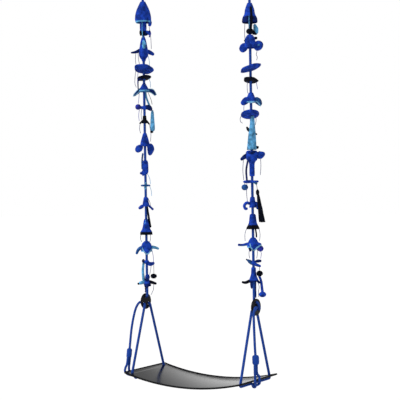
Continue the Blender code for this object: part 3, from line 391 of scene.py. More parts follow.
# Ornaments on the ropes, in millimetres. `top` is the height above the discs' upper edge. A bell or a solid
# has an outline of (drop, radius) points. A leaf is a petal, arm or cord: its yarn, points (across, drop,
# away), half widths along it and half depth. A ball or pompom has its yarn, its centre (across, drop) and its
# half width and height. A disc has its radius and thickness, its tilts, and the waves of its edge.
ORNAMENTS = {
    "left_top_bell": dict(
        top=1299, yarn="cobalt", rim="light_blue", rim_from=87,
        bell=[(0, 12), (33, 27), (55, 33.5), (74, 36), (86, 34.5), (93, 32)],
        leaves=[("cobalt", [(26, 78), (30, 97), (27, 110)], [8, 9, 5], 8),
                ("light_blue", [(28, 80), (37, 84)], [4, 3], 4),
                ("light_blue", [(-3, 84, -20), (-4, 115, -13), (-3, 150, -13), (-1, 163, -14)],
                 [1.8, 1.8], 1.8)]),
    "left_bow": dict(
        top=1158.5, yarn="cobalt",
        solid=[(-58, 9), (-50, 14), (-18, 14.5), (-9, 9)],
        leaves=[("navy", [(0, 1), (12, 0), (23, 2)], [9, 11, 7], 9),
                ("cobalt", [(8, -8), (20, -4), (31, 6)], [6, 8, 5], 9),
                ("violet", [(27, -14), (31, 1), (26, 18)], [3, 4, 2], 5)],
        balls=[("black", (-11, -4), (6, 15)), ("black", (0, 0), (11, 11))]),
    "left_bud_flower": dict(
        top=1141, yarn="cobalt",
        solid=[(0, 7), (16, 12), (40, 16.5), (66, 21), (84, 19), (96, 11), (107, 7)],
        leaves=[("navy", [(-12, 56), (-35, 65), (-57, 68)], [9, 6, 3], 9),
                ("cobalt", [(14, 60), (34, 71), (47, 79)], [9, 9, 6], 9),
                ("light_blue", [(2, 14, -11), (3, 38, -16), (3, 54, -19)], [5, 9, 5], 3),
                ("black", [(-17, 70), (-15, 88), (-6, 98), (0, 96, -9)], [2.2, 2.2], 2.2)]),
    "left_blue_disc": dict(
        top=1005, yarn="cobalt", disc=(42.5, 10), lean=-0.10, near=0.34, wave=0.05, petals=5),
    "left_black_disc": dict(
        top=964, yarn="black", disc=(31, 8), lean=0.15, near=0.20, wave=0.05, petals=5,
        leaves=[("navy", [(-6, 8, -14), (-24, 10, -8)], [4, 5], 12),
                ("navy", [(-24, 6, -2), (-27, 30), (-26, 62)], [2.4, 2.4], 2.4)]),
    "left_brim_bell": dict(
        top=935, yarn="cobalt", rim="light_blue", rim_from=30,
        bell=[(0, 7), (17.5, 16), (30, 23.5), (37, 26)],
        leaves=[("navy", [(-15, 26), (-33, 41), (-47, 54)], [8, 8, 5], 9),
                ("pale_blue", [(-16, 20, -5), (-36, 37, -5), (-50, 57, -3)], [1.6, 2.2, 2], 2.2),
                ("pale_blue", [(-18, 36, -8), (-32, 47, -8), (-46, 57, -3)], [1.4, 1.8, 1.4], 1.8),
                ("navy", [(17, 29), (37, 35), (52, 53)], [8, 9, 5], 9),
                ("pale_blue", [(20, 24, -5), (41, 29, -5), (55, 52, -3)], [1.6, 2.2, 2], 2.2),
                ("pale_blue", [(20, 38, -8), (34, 44, -8), (49, 56, -3)], [1.4, 1.8, 1.4], 1.8),
                ("light_blue", [(4, 22), (10, 64), (25, 104)], [4, 4], 4)]),
    "left_ball_bar": dict(
        top=827, yarn="violet",
        leaves=[("cobalt", [(-24, -2), (0, 0)], [6.5, 6.5], 6.5),
                ("navy", [(2, -2), (19, -1), (33, 12)], [9, 12, 7], 10)],
        balls=[("violet", (-28, -4), (12.6, 12.6)), ("cobalt", (0, 0), (11, 10))]),
    "left_small_bell": dict(
        top=791, yarn="black", bell=[(0, 7.5), (12, 8.5), (22, 10), (33, 12.5)],
        leaves=[("black", [(-5, 18), (-14, 27), (-23, 36)], [4, 4, 3], 7),
                ("black", [(5, 18), (13, 28), (22, 39)], [4, 4, 3], 7)]),
    "left_cone_bell": dict(
        top=713, yarn="cobalt", bell=[(0, 8), (20.5, 14), (38, 18.7), (57, 21.6)],
        leaves=[("cobalt", [(-12, 54), (-29, 70), (-38, 84)], [11, 16, 11], 7),
                ("cobalt", [(12, 50), (25, 66), (20, 99)], [13, 16, 7], 7)]),
    "left_sleeve": dict(
        top=593, yarn="cobalt", solid=[(0, 7), (8, 12), (30, 13.5), (52, 13), (62, 8)],
        leaves=[("teal", [(-10, -32), (-14, 0), (-14, 40)], [3.5, 3.5], 3.5),
                ("cobalt", [(-2, 49), (-15, 57), (-25, 56)], [8, 8, 4], 8),
                ("cobalt", [(-7, 54), (-12, 70)], [7, 4], 7)]),
    "left_thin_ring": dict(
        top=483.7, yarn="teal", disc=(20.5, 6.5), near=0.06, wave=0.06, petals=6,
        leaves=[("light_blue", [(3, -12, -4), (0, 4, -5), (-2, 22, -4)], [4, 7, 4], 5)]),
    "left_petal_bell": dict(
        top=428, yarn="cobalt", bell=[(0, 9), (20, 12.5), (32, 15), (41, 17)],
        leaves=[("cobalt", [(-10, 37), (-22, 44), (-33, 51)], [8, 8, 5], 9),
                ("cobalt", [(13, 37), (24, 48), (33, 57)], [6, 4, 5.5], 6),
                ("black", [(6, 38, -8), (12.5, 92, -5), (19, 136, -2)], [3, 4.5, 5], 4)]),
    "left_rimmed_bell": dict(
        top=331, yarn="cobalt", rim="black", rim_from=57,
        bell=[(0, 8.5), (12, 11.5), (27, 14), (45, 18.5), (58, 26), (70, 27.5)],
        leaves=[("light_blue", [(-1, 4, -8), (-5, 22, -11)], [2, 2], 2)]),
    "left_wide_flower": dict(
        top=233, yarn="cobalt", rim="light_blue", rim_from=43,
        bell=[(0, 10), (13, 20), (29, 24), (47, 24.5)],
        leaves=[("teal", [(-18, 26), (-36, 38), (-46, 59)], [8, 7, 5], 9),
                ("light_blue", [(20, 27), (39, 30), (56, 36.5)], [8, 6, 4.5], 9),
                ("cobalt", [(2, 36, -22), (2, 58, -23)], [13, 7], 4),
                ("pale_blue", [(-18, 29, -17), (-11, 45, -23.5), (4, 58, -27), (20, 42, -16), (27, 31, -9)],
                 [2.2, 2.8, 2.4], 2.4)]),
    "left_star": dict(
        top=139, yarn="cobalt",
        leaves=[("cobalt", [(2, 3), (16, 9), (35, 4)], [8, 9, 5], 9),
                ("light_blue", [(-14, 0), (-18, 40), (-15, 83)], [5, 5.5, 6.5], 4.5)],
        balls=[("cobalt", (0, 0), (11, 10)), ("navy", (-15, -5), (6.5, 9))]),
    "left_low_bell": dict(
        top=63, yarn="cobalt", rim="navy", rim_from=19, bell=[(0, 10), (12, 13), (24, 14.5), (31, 12)],
        leaves=[("light_blue", [(-6, 10), (-22, 15), (-37, 19)], [7, 8, 6], 9),
                ("black", [(3, 11), (22, 15), (43, 22)], [8, 7, 4.5], 8),
                ("navy", [(0, 22, -10), (2, 38, -7)], [9, 6], 7),
                ("navy", [(-3, -4, -8), (4, 8, -13)], [7, 8], 6),
                ("navy", [(-5, 24, -6), (-9, 37, -5)], [4, 3.5], 4),
                ("navy", [(8, 18, -6), (15, 32, -5)], [6, 5.5], 5)],
        balls=[("black", (-38, 20), (5.5, 5)), ("black", (-1, 3), (10, 8)), ("cobalt", (2, -9), (10.5, 14))]),
    "right_top_bell": dict(
        top=1225, yarn="cobalt", rim="navy", rim_from=58,
        bell=[(0, 10), (26.5, 19), (45, 22), (62, 30), (76, 32), (81, 31)],
        leaves=[("black", [(4, 18, -18), (5, 50, -27), (5, 78, -36), (2, 113, -14)], [4.5, 5], 4.5),
                ("light_blue", [(-4, 56, -29), (-5, 82, -34), (-3, 112, -10)], [1.6, 1.6], 1.6)]),
    "right_knob": dict(
        top=1108, yarn="black",
        leaves=[("light_blue", [(19, -30), (25, -8), (28, 12)], [5, 10.5, 6], 9),
                ("black", [(8, 2), (20, 8), (30, 12)], [8, 8, 4], 7)],
        balls=[("black", (0, 0), (15.5, 12.5))]),
    "right_cone_flower": dict(
        top=1093, yarn="cobalt", bell=[(0, 12), (13, 19), (34, 23), (54, 25)],
        leaves=[("cobalt", [(-13, 38), (-28, 54), (-35, 72)], [14, 17, 13], 8),
                ("cobalt", [(15, 37), (35, 46), (50, 56)], [16, 22, 18], 8),
                ("light_blue", [(33, 40, -9), (37, 46, -9)], [5, 4], 2),
                ("black", [(16, 14), (31, 13)], [6, 5], 6),
                ("black", [(-16, 21), (-25, 26)], [5, 4], 5)]),
    "right_blue_disc": dict(
        top=961, yarn="cobalt", disc=(42, 10), lean=0.30, near=0.15, wave=0.05, petals=5),
    "right_black_disc": dict(
        top=910, yarn="black", disc=(29, 9), lean=-0.12, near=0.28, wave=0.05, petals=5,
        leaves=[("black", [(20, 6), (33, 8)], [7, 2], 7)]),
    "right_petal_bell": dict(
        top=854, yarn="cobalt", rim="light_blue", rim_from=37,
        bell=[(0, 9), (8, 12), (24.5, 18), (41, 20)],
        leaves=[("cobalt", [(-9, 22), (-27, 38), (-41, 48)], [12, 14, 9], 8),
                ("pale_blue", [(-14, 41, -14), (-7, 43, -18.5), (6, 42, -19), (13, 38, -15.5)],
                 [1.8, 2.2, 1.8], 2),
                ("teal", [(14, 23), (31, 38), (41, 55)], [10, 14, 7], 7),
                ("pale_blue", [(20, 36, -8), (31, 46, -9), (40, 58, -7)], [2, 2.5, 2], 2)]),
    "right_wavy_disc": dict(
        top=769, yarn="cobalt", disc=(38, 10), lean=0.03, near=0.38, wave=0.14, petals=1, phase=180),
    "right_long_cone": dict(
        top=756, yarn="light_blue", bell=[(0, 7), (12, 8.5), (40, 11), (80, 15.5), (139, 20)], slant=(5, -5),
        leaves=[("black", [(-5, 66), (-14, 54), (-20, 43)], [4, 6, 3], 5),
                ("black", [(12, 72), (24, 76)], [4, 3], 5),
                ("black", [(16, 126), (29, 132)], [4, 7], 5)]),
    "right_wide_flower": dict(
        top=612, yarn="cobalt", solid=[(0, 20), (16, 26), (36, 22), (52, 11.5), (101, 10.5)],
        leaves=[("navy", [(-14, 15), (-31, 25), (-47, 37)], [10, 9, 5], 9),
                ("navy", [(-18, 6, -16), (-2, 10, -24), (14, 4, -20)], [5, 7, 4], 4),
                ("cobalt", [(18, 20), (36, 17), (55, 10)], [15, 16, 7], 8),
                ("navy", [(-17, 40), (-24, 80), (-22, 122)], [3.7, 3.7], 3.7)]),
    "right_thin_ring": dict(
        top=489, yarn="cobalt", disc=(28.5, 8), wave=0.40, petals=3, phase=180,
        leaves=[("cobalt", [(2, 4), (-18, 4), (-36, 5)], [6, 6.5, 5], 7),
                ("light_blue", [(2, 3, -9), (12, 8, -11), (19, 16, -9)], [6, 6, 5], 5)]),
    "right_curl_bell": dict(
        top=421, yarn="cobalt", bell=[(0, 9), (18, 11.5), (34, 13), (44, 14)],
        leaves=[("cobalt", [(-9, 28), (-24, 24), (-34, 35), (-30, 48), (-20, 46)], [6, 6, 5], 8),
                ("cobalt", [(7, 25), (20, 30), (22, 52)], [6, 8, 6], 8)]),
    "right_rimmed_bell": dict(
        top=351, yarn="cobalt", rim="black", rim_from=46,
        bell=[(0, 10), (6, 12.5), (18, 14), (36, 16.5), (48, 21.5), (57, 26.5), (63, 27)],
        leaves=[("black", [(9, 56, -6), (13, 80, -7), (14, 98, -6)], [3, 3], 3)]),
    "right_side_flower": dict(
        top=253, yarn="cobalt", rim="light_blue", rim_from=37,
        bell=[(0, 10), (14, 18.5), (29, 24), (41, 26)],
        leaves=[("cobalt", [(-17, 25), (-45, 30), (-64, 29)], [7, 4.5, 5], 7),
                ("navy", [(-13, 34), (-12, 58)], [10, 4], 6),
                ("cobalt", [(0, 32, -24), (0, 49, -27)], [14, 6], 4),
                ("cobalt", [(6, 24, -15), (20, 28, -16), (34, 28, -12)], [12, 9, 4], 5),
                ("pale_blue", [(-14, 24, -19), (-11, 38, -25), (0, 52, -29.5), (19, 38, -21), (34, 30, -14)],
                 [2.2, 2.6, 2.2], 2.4),
                ("pale_blue", [(-22, 31, -4), (-42, 33.5, -2), (-60, 32.5, -3)], [1.6, 1.6], 1.6)],
        pompoms=[("violet", (29, 46), (14, 13))]),
    "right_twin_petals": dict(
        top=149, yarn="cobalt",
        leaves=[("teal", [(-2, 6), (-14, -4), (-27, -13)], [7, 8, 3], 8),
                ("cobalt", [(2, 4, -3), (16, 10, -13), (29, 14, -22)], [7, 6, 4], 7),
                ("navy", [(4, -2), (16, -6), (34, -7)], [4, 6.5, 5], 7)],
        balls=[("cobalt", (0, 0), (11, 10)), ("black", (-28, -13), (3.5, 3.5))]),
    "right_low_bell": dict(
        top=129, yarn="cobalt", rim="navy", rim_from=52,
        bell=[(0, 9), (18, 10), (30, 11.5), (42, 15.5), (52, 19.5), (57, 20.5)],
        leaves=[("black", [(-13, 54), (-34, 62), (-50, 59)], [7, 6, 4], 9),
                ("navy", [(9, 50), (27, 66)], [6, 4], 8),
                ("cobalt", [(20, 30), (26, 43), (31.5, 59)], [4, 5, 4.5], 5),
                ("navy", [(-7, 55), (-9, 68), (-9, 88)], [6.5, 6, 3], 5),
                ("navy", [(6, 54), (7, 74), (7, 95)], [5, 3.2, 2.8], 4)]),
}

# Pendants: each hangs from its joint by a thread. Outlines, leaves and balls are as above, from the joint
# down. A fringe has the drop of its neck and of its hem, and how far the hem hangs to the right.
PENDANTS = {
    "left_long_pendant": dict(yarn="light_blue", thread=18,
                              solid=[(4, 3), (12, 6), (40, 8), (74, 10), (90, 9.5), (96, 5)],
                              balls=[("black", (-4, 99), (7, 6))]),
    "left_pompon": dict(yarn="black", thread=44, pompoms=[("black", (-1, 53), (14.5, 11.5))]),
    "right_bead_pendant": dict(yarn="teal", thread=10, balls=[("teal", (0, 20), (13.5, 12.5))]),
    "right_tassel": dict(yarn="black", thread=36, balls=[("black", (5, 42), (7, 13))],
                         fringe=(50, 166, 22)),
    "right_pompon": dict(yarn="black", thread=22, pompoms=[("black", (0, 32), (14, 12.5))]),
    "right_drop_pendant": dict(yarn="cobalt", thread=40,
                               leaves=[("cobalt", [(-3.5, -3), (-1, 20), (2, 50)], [5.2, 5.5], 5.5)],
                               balls=[("cobalt", (2, 56), (15, 11.5))]),
}

# Loose threads: the rope they hang on, yarn, and points (across, height above the discs' upper edge) in
# millimetres
THREADS = [
    ("left", "navy", [(27, 1187), (33, 1140), (35, 1089)]),
    ("left", "navy", [(-25, 1074), (-23, 1045), (-19, 1018)]),
    ("left", "navy", [(-34, 1073), (-37, 1045), (-35, 1022)]),
    ("left", "light_blue", [(19, 1062), (25, 1035), (25, 1009)]),
    ("left", "navy", [(-36, 996), (-41, 943), (-35, 918)]),
    ("left", "violet", [(-25, 996), (-29, 945), (-27, 912)]),
    ("left", "light_blue", [(22, 960), (28, 938), (28, 917)]),
    ("left", "violet", [(-22, 896), (-24, 870), (-27, 846)]),
    ("left", "black", [(15, 900), (29, 866), (35, 841)]),
    ("left", "violet", [(-22, 822), (-26, 795), (-24, 768)]),
    ("left", "navy", [(-12, 822), (-15, 797), (-13, 773)]),
    ("left", "navy", [(-20, 757), (-23, 735), (-19, 714)]),
    ("left", "navy", [(21, 754), (27, 712), (25, 676)]),
    ("left", "light_blue", [(10, 531), (19, 510), (22, 487)]),
    ("left", "light_blue", [(18, 479), (25, 456), (26, 434)]),
    ("left", "black", [(10, 424), (18, 404), (20, 385)]),
    ("left", "navy", [(-22, 266), (-27, 248), (-22, 229)]),
    ("left", "navy", [(16, 268), (19, 248), (15, 228)]),
    ("left", "violet", [(22, 202), (29, 165), (30, 128)]),
    ("left", "navy", [(20, 132), (17, 106), (12, 83)]),
    ("left", "navy", [(30, 46), (28, 18), (17, -8)]),
    ("right", "navy", [(-19, 1164), (-22, 1100), (-19, 1047)]),
    ("right", "navy", [(27, 1040), (28, 1024), (25, 1012), (29, 1000), (26, 988)]),
    ("right", "navy", [(-12, 908), (-15, 880), (-13, 851)]),
    ("right", "violet", [(22, 902), (25, 886), (28, 868)]),
    ("right", "violet", [(-27, 812), (-30, 790), (-29, 768)]),
    ("right", "navy", [(-38, 764), (-46, 746), (-43, 732), (-36, 728)]),
    ("right", "navy", [(18, 762), (20, 740), (16, 719)]),
    ("right", "navy", [(-34, 586), (-38, 535), (-35, 492)]),
    ("right", "navy", [(35, 599), (37, 550), (34, 512)]),
    ("right", "navy", [(-22, 481), (-24, 440), (-21, 400)]),
    ("right", "navy", [(-22, 300), (-33, 270), (-33, 239)]),
    ("right", "navy", [(22, 300), (29, 270), (27, 239)]),
    ("right", "navy", [(-15, 206), (-18, 186), (-15, 167)]),
    ("right", "navy", [(14, 214), (17, 190), (14, 166)]),
    ("right", "violet", [(28, 206), (33, 185), (30, 165)]),
    ("right", "navy", [(14, 74), (22, 50), (19, 28), (20, 6)]),
]


def add_node(tree, kind, inputs=None, **settings):
    """A node with its settings, and its inputs set or linked by name or number."""
    new = tree.nodes.new(kind)
    for key, value in settings.items():
        setattr(new, key, value)
    for key, value in (inputs or {}).items():
        if isinstance(value, bpy.types.NodeSocket):
            tree.links.new(value, new.inputs[key])
        else:
            new.inputs[key].default_value = value
    return new


def calc(tree, operation, first, second=0.0, third=0.0):
    """One step of arithmetic."""
    values = {0: first, 1: second, 2: third}
    return add_node(tree, "ShaderNodeMath", values, operation=operation).outputs[0]


def blend_colours(tree, share, first, second):
    """A mix of two colours, which are the node's inputs 6 and 7."""
    return add_node(tree, "ShaderNodeMix", {0: share, 6: first, 7: second}, data_type="RGBA").outputs[2]


def spread(tree, value, low, high, span=(0.0, 1.0)):
    """A value within a span, spread from low to high."""
    values = {0: value, 1: span[0], 2: span[1], 3: low, 4: high}
    return add_node(tree, "ShaderNodeMapRange", values).outputs[0]


def speckle(tree, scale, detail=2.0, stretch=(1, 1, 1)):
    """Noise that stays with the piece."""
    place = add_node(tree, "ShaderNodeTexCoord").outputs["Object"]
    place = add_node(tree, "ShaderNodeMapping", {"Vector": place, "Scale": stretch}).outputs[0]
    values = {"Vector": place, "Scale": scale, "Detail": detail}
    return add_node(tree, "ShaderNodeTexNoise", values).outputs[0]


def tint(tree, colour, shade):
    """A colour made darker or lighter."""
    return add_node(tree, "ShaderNodeHueSaturation", {"Value": shade, "Color": colour}).outputs[0]


def new_group(name, inputs):
    """An empty node group with named inputs: its tree, its inputs and its output node's sockets."""
    tree = bpy.data.node_groups.new(name, "ShaderNodeTree")
    for socket, kind in inputs.items():
        tree.interface.new_socket(socket, in_out="INPUT", socket_type=kind)
    for socket, kind in (("Colour", COLOUR), ("Roughness", NUMBER), ("Height", NUMBER)):
        tree.interface.new_socket(socket, in_out="OUTPUT", socket_type=kind)
    return tree, tree.nodes.new("NodeGroupInput").outputs, tree.nodes.new("NodeGroupOutput").inputs


def put_out(tree, out, colour, roughness, height):
    """What a group gives to the materials."""
    tree.links.new(colour, out["Colour"])
    tree.links.new(roughness, out["Roughness"])
    tree.links.new(height, out["Height"])


def read_stitch(tree):
    """Where a point lies in its stitch: the turn across it and the count of rows along the piece."""
    place = add_node(tree, "ShaderNodeAttribute", attribute_name="stitch").outputs["Vector"]
    parts = add_node(tree, "ShaderNodeSeparateXYZ", {0: place}).outputs
    return calc(tree, "ARCTAN2", parts[1], parts[0]), parts[2]


def make_crochet_group():
    """Rows of looped stitches with painted shade in their gaps, plied yarn, and uneven dye whose patches also
    paint shade and highlight.
    """
    tree, given, out = new_group("crochet", {"Body": COLOUR, "Rim": COLOUR})
    turn, rows = read_stitch(tree)
    step = calc(tree, "FRACT", rows)
    hump = calc(tree, "SINE", calc(tree, "MULTIPLY", step, math.pi))
    lean = calc(tree, "ADD", turn, calc(tree, "MULTIPLY", step, LOOP_LEAN))
    loop = calc(tree, "MULTIPLY_ADD", calc(tree, "COSINE", lean), 0.5, 0.5)
    twist = calc(tree, "ADD", calc(tree, "MULTIPLY", turn, 2), calc(tree, "MULTIPLY", step, PLIES))
    ply = calc(tree, "MULTIPLY", calc(tree, "SINE", twist), PLY_HEIGHT)
    height = calc(tree, "ADD", calc(tree, "MULTIPLY", hump, spread(tree, loop, *LOOP_TONES)), ply)
    rim = add_node(tree, "ShaderNodeAttribute", attribute_name="rim").outputs["Fac"]
    colour = blend_colours(tree, rim, given["Body"], given["Rim"])
    # Uneven dye whose strong patches also paint shade and highlight, times painted shade in the stitches'
    # gaps
    dye = spread(tree, speckle(tree, DYE_AND_SHADING_SCALE, DYE_AND_SHADING_DETAIL), *DYE_AND_SHADING_TONES, DYE_AND_SHADING_SPAN)
    shade = calc(tree, "MULTIPLY", spread(tree, height, *GAP_SHADE_TONES), dye)
    fuzz = speckle(tree, FUZZ_SCALE)
    shade = calc(tree, "MULTIPLY", shade, spread(tree, fuzz, *FUZZ_TONES))
    height = calc(tree, "ADD", height, calc(tree, "MULTIPLY", fuzz, FUZZ_HEIGHT))
    put_out(tree, out, tint(tree, colour, shade), spread(tree, fuzz, *YARN_ROUGHNESS), height)
    return tree


def make_braid_group():
    """Strands that cross in diamonds, with painted shade in the gaps and paler worn crowns."""
    tree, given, out = new_group("braid", {"Strand": COLOUR, "Worn": COLOUR})
    turn, rows = read_stitch(tree)
    around = calc(tree, "COSINE", calc(tree, "MULTIPLY", turn, 2))
    along = calc(tree, "COSINE", calc(tree, "MULTIPLY", rows, 2 * math.pi))
    weave = calc(tree, "MULTIPLY_ADD", calc(tree, "ADD", around, along), 0.25, 0.5)
    fibre = speckle(tree, FIBRE_SCALE, FIBRE_DETAIL, FIBRE_STRETCH)
    worn = calc(tree, "MULTIPLY", calc(tree, "POWER", weave, WORN_POWER), speckle(tree, WORN_SCALE))
    colour = blend_colours(tree, worn, given["Strand"], given["Worn"])
    # Painted shade in the gaps between the strands, times the fibres' tone
    shade = calc(tree, "MULTIPLY", spread(tree, weave, *WEAVE_SHADE_TONES), spread(tree, fibre, *FIBRE_TONES))
    height = calc(tree, "ADD", weave, calc(tree, "MULTIPLY", fibre, FIBRE_HEIGHT))
    put_out(tree, out, tint(tree, colour, shade), spread(tree, fibre, *ROPE_ROUGHNESS), height)
    return tree


def make_wear_group():
    """Fine grain with soft scuffs: a colour between clean and scuffed, a roughness and a height."""
    tree, given, out = new_group("wear", {"Clean": COLOUR, "Scuffed": COLOUR, "Grain scale": NUMBER,
                                          "Smooth": NUMBER, "Rough": NUMBER})
    place = add_node(tree, "ShaderNodeTexCoord").outputs["Object"]
    grain = add_node(tree, "ShaderNodeTexNoise", {"Vector": place, "Scale": given["Grain scale"]}).outputs[0]
    cloud = speckle(tree, CLOUD_SCALE, CLOUD_DETAIL)
    hairline = speckle(tree, HAIRLINE_SCALE, HAIRLINE_DETAIL, HAIRLINE_STRETCH)
    scuff = calc(tree, "MULTIPLY", spread(tree, hairline, 0.0, 1.0, SCUFF_SPAN), cloud)
    colour = blend_colours(tree, scuff, given["Clean"], given["Scuffed"])
    mixed = calc(tree, "ADD", calc(tree, "MULTIPLY", cloud, CLOUD_SHARE),
                 calc(tree, "MULTIPLY", scuff, SCUFF_SHARE))
    put_out(tree, out, colour, spread(tree, mixed, given["Smooth"], given["Rough"]), grain)
    return tree


CROCHET = make_crochet_group()
BRAID = make_braid_group()
WEAR = make_wear_group()


def new_finish(name, group, values, bump, depth, metallic=0.0, shine=0.5):
    """A material whose colour, roughness and bump come from one of the groups."""
    material = bpy.data.materials.new(name)
    material.use_nodes = True
    tree = material.node_tree
    shader = tree.nodes["Principled BSDF"]
    shader.inputs["Metallic"].default_value = metallic
    shader.inputs["Specular IOR Level"].default_value = shine
    effect = add_node(tree, "ShaderNodeGroup", node_tree=group)
    for key, value in values.items():
        effect.inputs[key].default_value = value
    tree.links.new(effect.outputs["Colour"], shader.inputs["Base Color"])
    tree.links.new(effect.outputs["Roughness"], shader.inputs["Roughness"])
    raised = add_node(tree, "ShaderNodeBump", {"Height": effect.outputs["Height"], "Strength": bump,
                                               "Distance": depth})
    tree.links.new(raised.outputs[0], shader.inputs["Normal"])
    return material


def yarn(body, rim):
    """The yarn of one colour, with a rim of another."""
    name = "yarn_" + body + "_" + rim
    if name not in bpy.data.materials:
        values = {"Body": YARNS[body], "Rim": YARNS[rim]}
        new_finish(name, CROCHET, values, bump=0.5, depth=0.7 * MM, shine=0.08)
    return bpy.data.materials[name]


def thread_finish(colour):
    """Spun thread with uneven dye."""
    name = "thread_" + colour
    if name not in bpy.data.materials:
        base = YARNS[colour]
        pale = [value * THREAD_FADE + THREAD_PALE for value in base[:3]] + [1]
        values = {"Clean": base, "Scuffed": pale, "Grain scale": 2500.0, "Smooth": 0.6, "Rough": 0.9}
        new_finish(name, WEAR, values, bump=0.3, depth=0.2 * MM)
    return bpy.data.materials[name]


ROPE_FINISH = new_finish(
    "braided_rope", BRAID, {"Strand": (0.0135, 0.064, 0.37, 1), "Worn": (0.03, 0.12, 0.50, 1)},
    bump=0.45, depth=0.4 * MM, shine=0.12)
SPLICE_FINISH = new_finish(
    "splice_twine", BRAID, {"Strand": (0.012, 0.068, 0.42, 1), "Worn": (0.03, 0.13, 0.55, 1)},
    bump=0.5, depth=0.5 * MM, shine=0.12)
SEAT_FINISH = new_finish(
    "satin_black_coat", WEAR,
    {"Clean": (0.006, 0.0065, 0.008, 1), "Scuffed": (0.020, 0.021, 0.024, 1),
     "Grain scale": 900.0, "Smooth": 0.15, "Rough": 0.24},
    bump=0.03, depth=0.1 * MM)
# Darker, matt finish of the seat's edge bead: partly the plate's own dark edge, partly a painted dark
# reflection of its rounded edge
EDGE_FINISH = new_finish(
    "matt_black_edge_line", WEAR,
    {"Clean": (0.003, 0.003, 0.004, 1), "Scuffed": (0.012, 0.012, 0.014, 1),
     "Grain scale": 1500.0, "Smooth": 0.55, "Rough": 0.75},
    bump=0.05, depth=0.1 * MM, shine=0.1)
DISC_FINISH = new_finish(
    "matt_black_disc", WEAR,
    {"Clean": (0.003, 0.0035, 0.007, 1), "Scuffed": (0.014, 0.015, 0.020, 1),
     "Grain scale": 1500.0, "Smooth": 0.45, "Rough": 0.65},
    bump=0.12, depth=0.2 * MM, shine=0.12)
STEEL_FINISH = new_finish(
    "brushed_steel", WEAR,
    {"Clean": (0.52, 0.53, 0.55, 1), "Scuffed": (0.34, 0.34, 0.35, 1),
     "Grain scale": 1200.0, "Smooth": 0.22, "Rough": 0.42},
    bump=0.08, depth=0.1 * MM, metallic=1.0)


def smooth_path(points, step):
    """Points at even steps on a smooth curve through a list of places."""
    points = [Vector(p) for p in points]
    ends = [2 * points[0] - points[1]] + points + [2 * points[-1] - points[-2]]
    dense = []
    for before, start, end, after in zip(ends, ends[1:], ends[2:], ends[3:]):
        for i in range(CURVE_STEPS):
            t = i / CURVE_STEPS
            dense.append(0.5 * (2 * start + (end - before) * t
                                + (2 * before - 5 * start + 4 * end - after) * t ** 2
                                + (3 * start - before - 3 * end + after) * t ** 3))
    return even_path(dense + [points[-1]], step)


def distances(path):
    """How far along a line each of its points lies."""
    lengths = [0.0]
    for start, end in zip(path, path[1:]):
        lengths.append(lengths[-1] + (end - start).length)
    return lengths


def path_length(path):
    """The length of a line of points."""
    return distances(path)[-1]


def even_path(points, step):
    """The same line with points at even steps."""
    lengths = distances(points)
    count = max(2, round(lengths[-1] / step))
    path = []
    index = 0
    for i in range(count + 1):
        want = lengths[-1] * i / count
        while index < len(points) - 2 and lengths[index + 1] < want:
            index += 1
        span = lengths[index + 1] - lengths[index]
        share = (want - lengths[index]) / span if span > 0 else 0
        path.append(points[index].lerp(points[index + 1], min(1.0, max(0.0, share))))
    return path


def bar_line(path, step, closed):
    """The points of a rope or bar at even steps, without the last where it meets the first."""
    line = even_path([Vector(p) for p in path], step)
    return line[:-1] if closed else line


def arc(centre, first, second, start, end, steps):
    """Points on an arc about a centre, from one angle to another, given its two half axes."""
    points = []
    for i in range(steps + 1):
        turn = start + (end - start) * i / steps
        points.append(centre + first * math.cos(turn) + second * math.sin(turn))
    return points


def rounded(points, radius):
    """Straight runs of rope through corner points, with each corner an arc."""
    points = [Vector(p) for p in points]
    path = [points[0]]
    for before, corner, after in zip(points, points[1:], points[2:]):
        back = (before - corner).normalized()
        ahead = (after - corner).normalized()
        half = back.angle(ahead) / 2
        middle = corner + (back + ahead).normalized() * radius / math.sin(half)
        inward = (corner + back * radius / math.tan(half) - middle).normalized()
        outward = (corner + ahead * radius / math.tan(half) - middle).normalized()
        for i in range(CORNER_STEPS + 1):
            path.append(middle + inward.slerp(outward, i / CORNER_STEPS) * radius)
    return path + [points[-1]]


def side_directions(path, closed, facing):
    """Two directions across a path at each of its points, with no needless twist."""
    count = len(path)
    tangents = []
    for i in range(count):
        before = path[i - 1] if closed or i > 0 else path[0]
        after = path[(i + 1) % count] if closed or i < count - 1 else path[-1]
        tangents.append((after - before).normalized())
    if facing is not None:
        firsts = [facing.cross(tangent).normalized() for tangent in tangents]
    else:
        start = UP if abs(tangents[0].z) < STEEP else BACK
        firsts = [start.cross(tangents[0]).normalized()]
        for before, after in zip(tangents, tangents[1:]):
            firsts.append(before.rotation_difference(after) @ firsts[-1])
    return [(first, tangent.cross(first).normalized()) for first, tangent in zip(firsts, tangents)]


def new_shape():
    """An empty bmesh that remembers each point's stitch and how far it belongs to the rim."""
    shape = bmesh.new()
    shape.verts.layers.float_vector.new("stitch")
    shape.verts.layers.float.new("rim")
    return shape


def tidy(shape):
    """Close seams and poles, and turn the faces outwards."""
    bmesh.ops.remove_doubles(shape, verts=shape.verts, dist=SEAM)
    bmesh.ops.recalc_face_normals(shape, faces=shape.faces)


def stitch_relief(turn, rows):
    """How far a stitch stands out, from 0 to 1."""
    step = rows - math.floor(rows)
    loop = math.cos(turn + math.pi * math.floor(rows) + LOOP_LEAN * step)
    return math.sin(math.pi * step) * (STITCH_FLOOR + STITCH_LOOP * loop)


def braid_relief(turn, rows):
    """How far a crossing of strands stands out, from 0 to 1."""
    return 0.5 + 0.25 * (math.cos(2 * turn) + math.cos(2 * math.pi * rows))


def twine_relief(turn, rows):
    """How far a turn of whipping twine stands out, from 0 to 1."""
    return abs(math.sin(math.pi * rows + turn / 2))


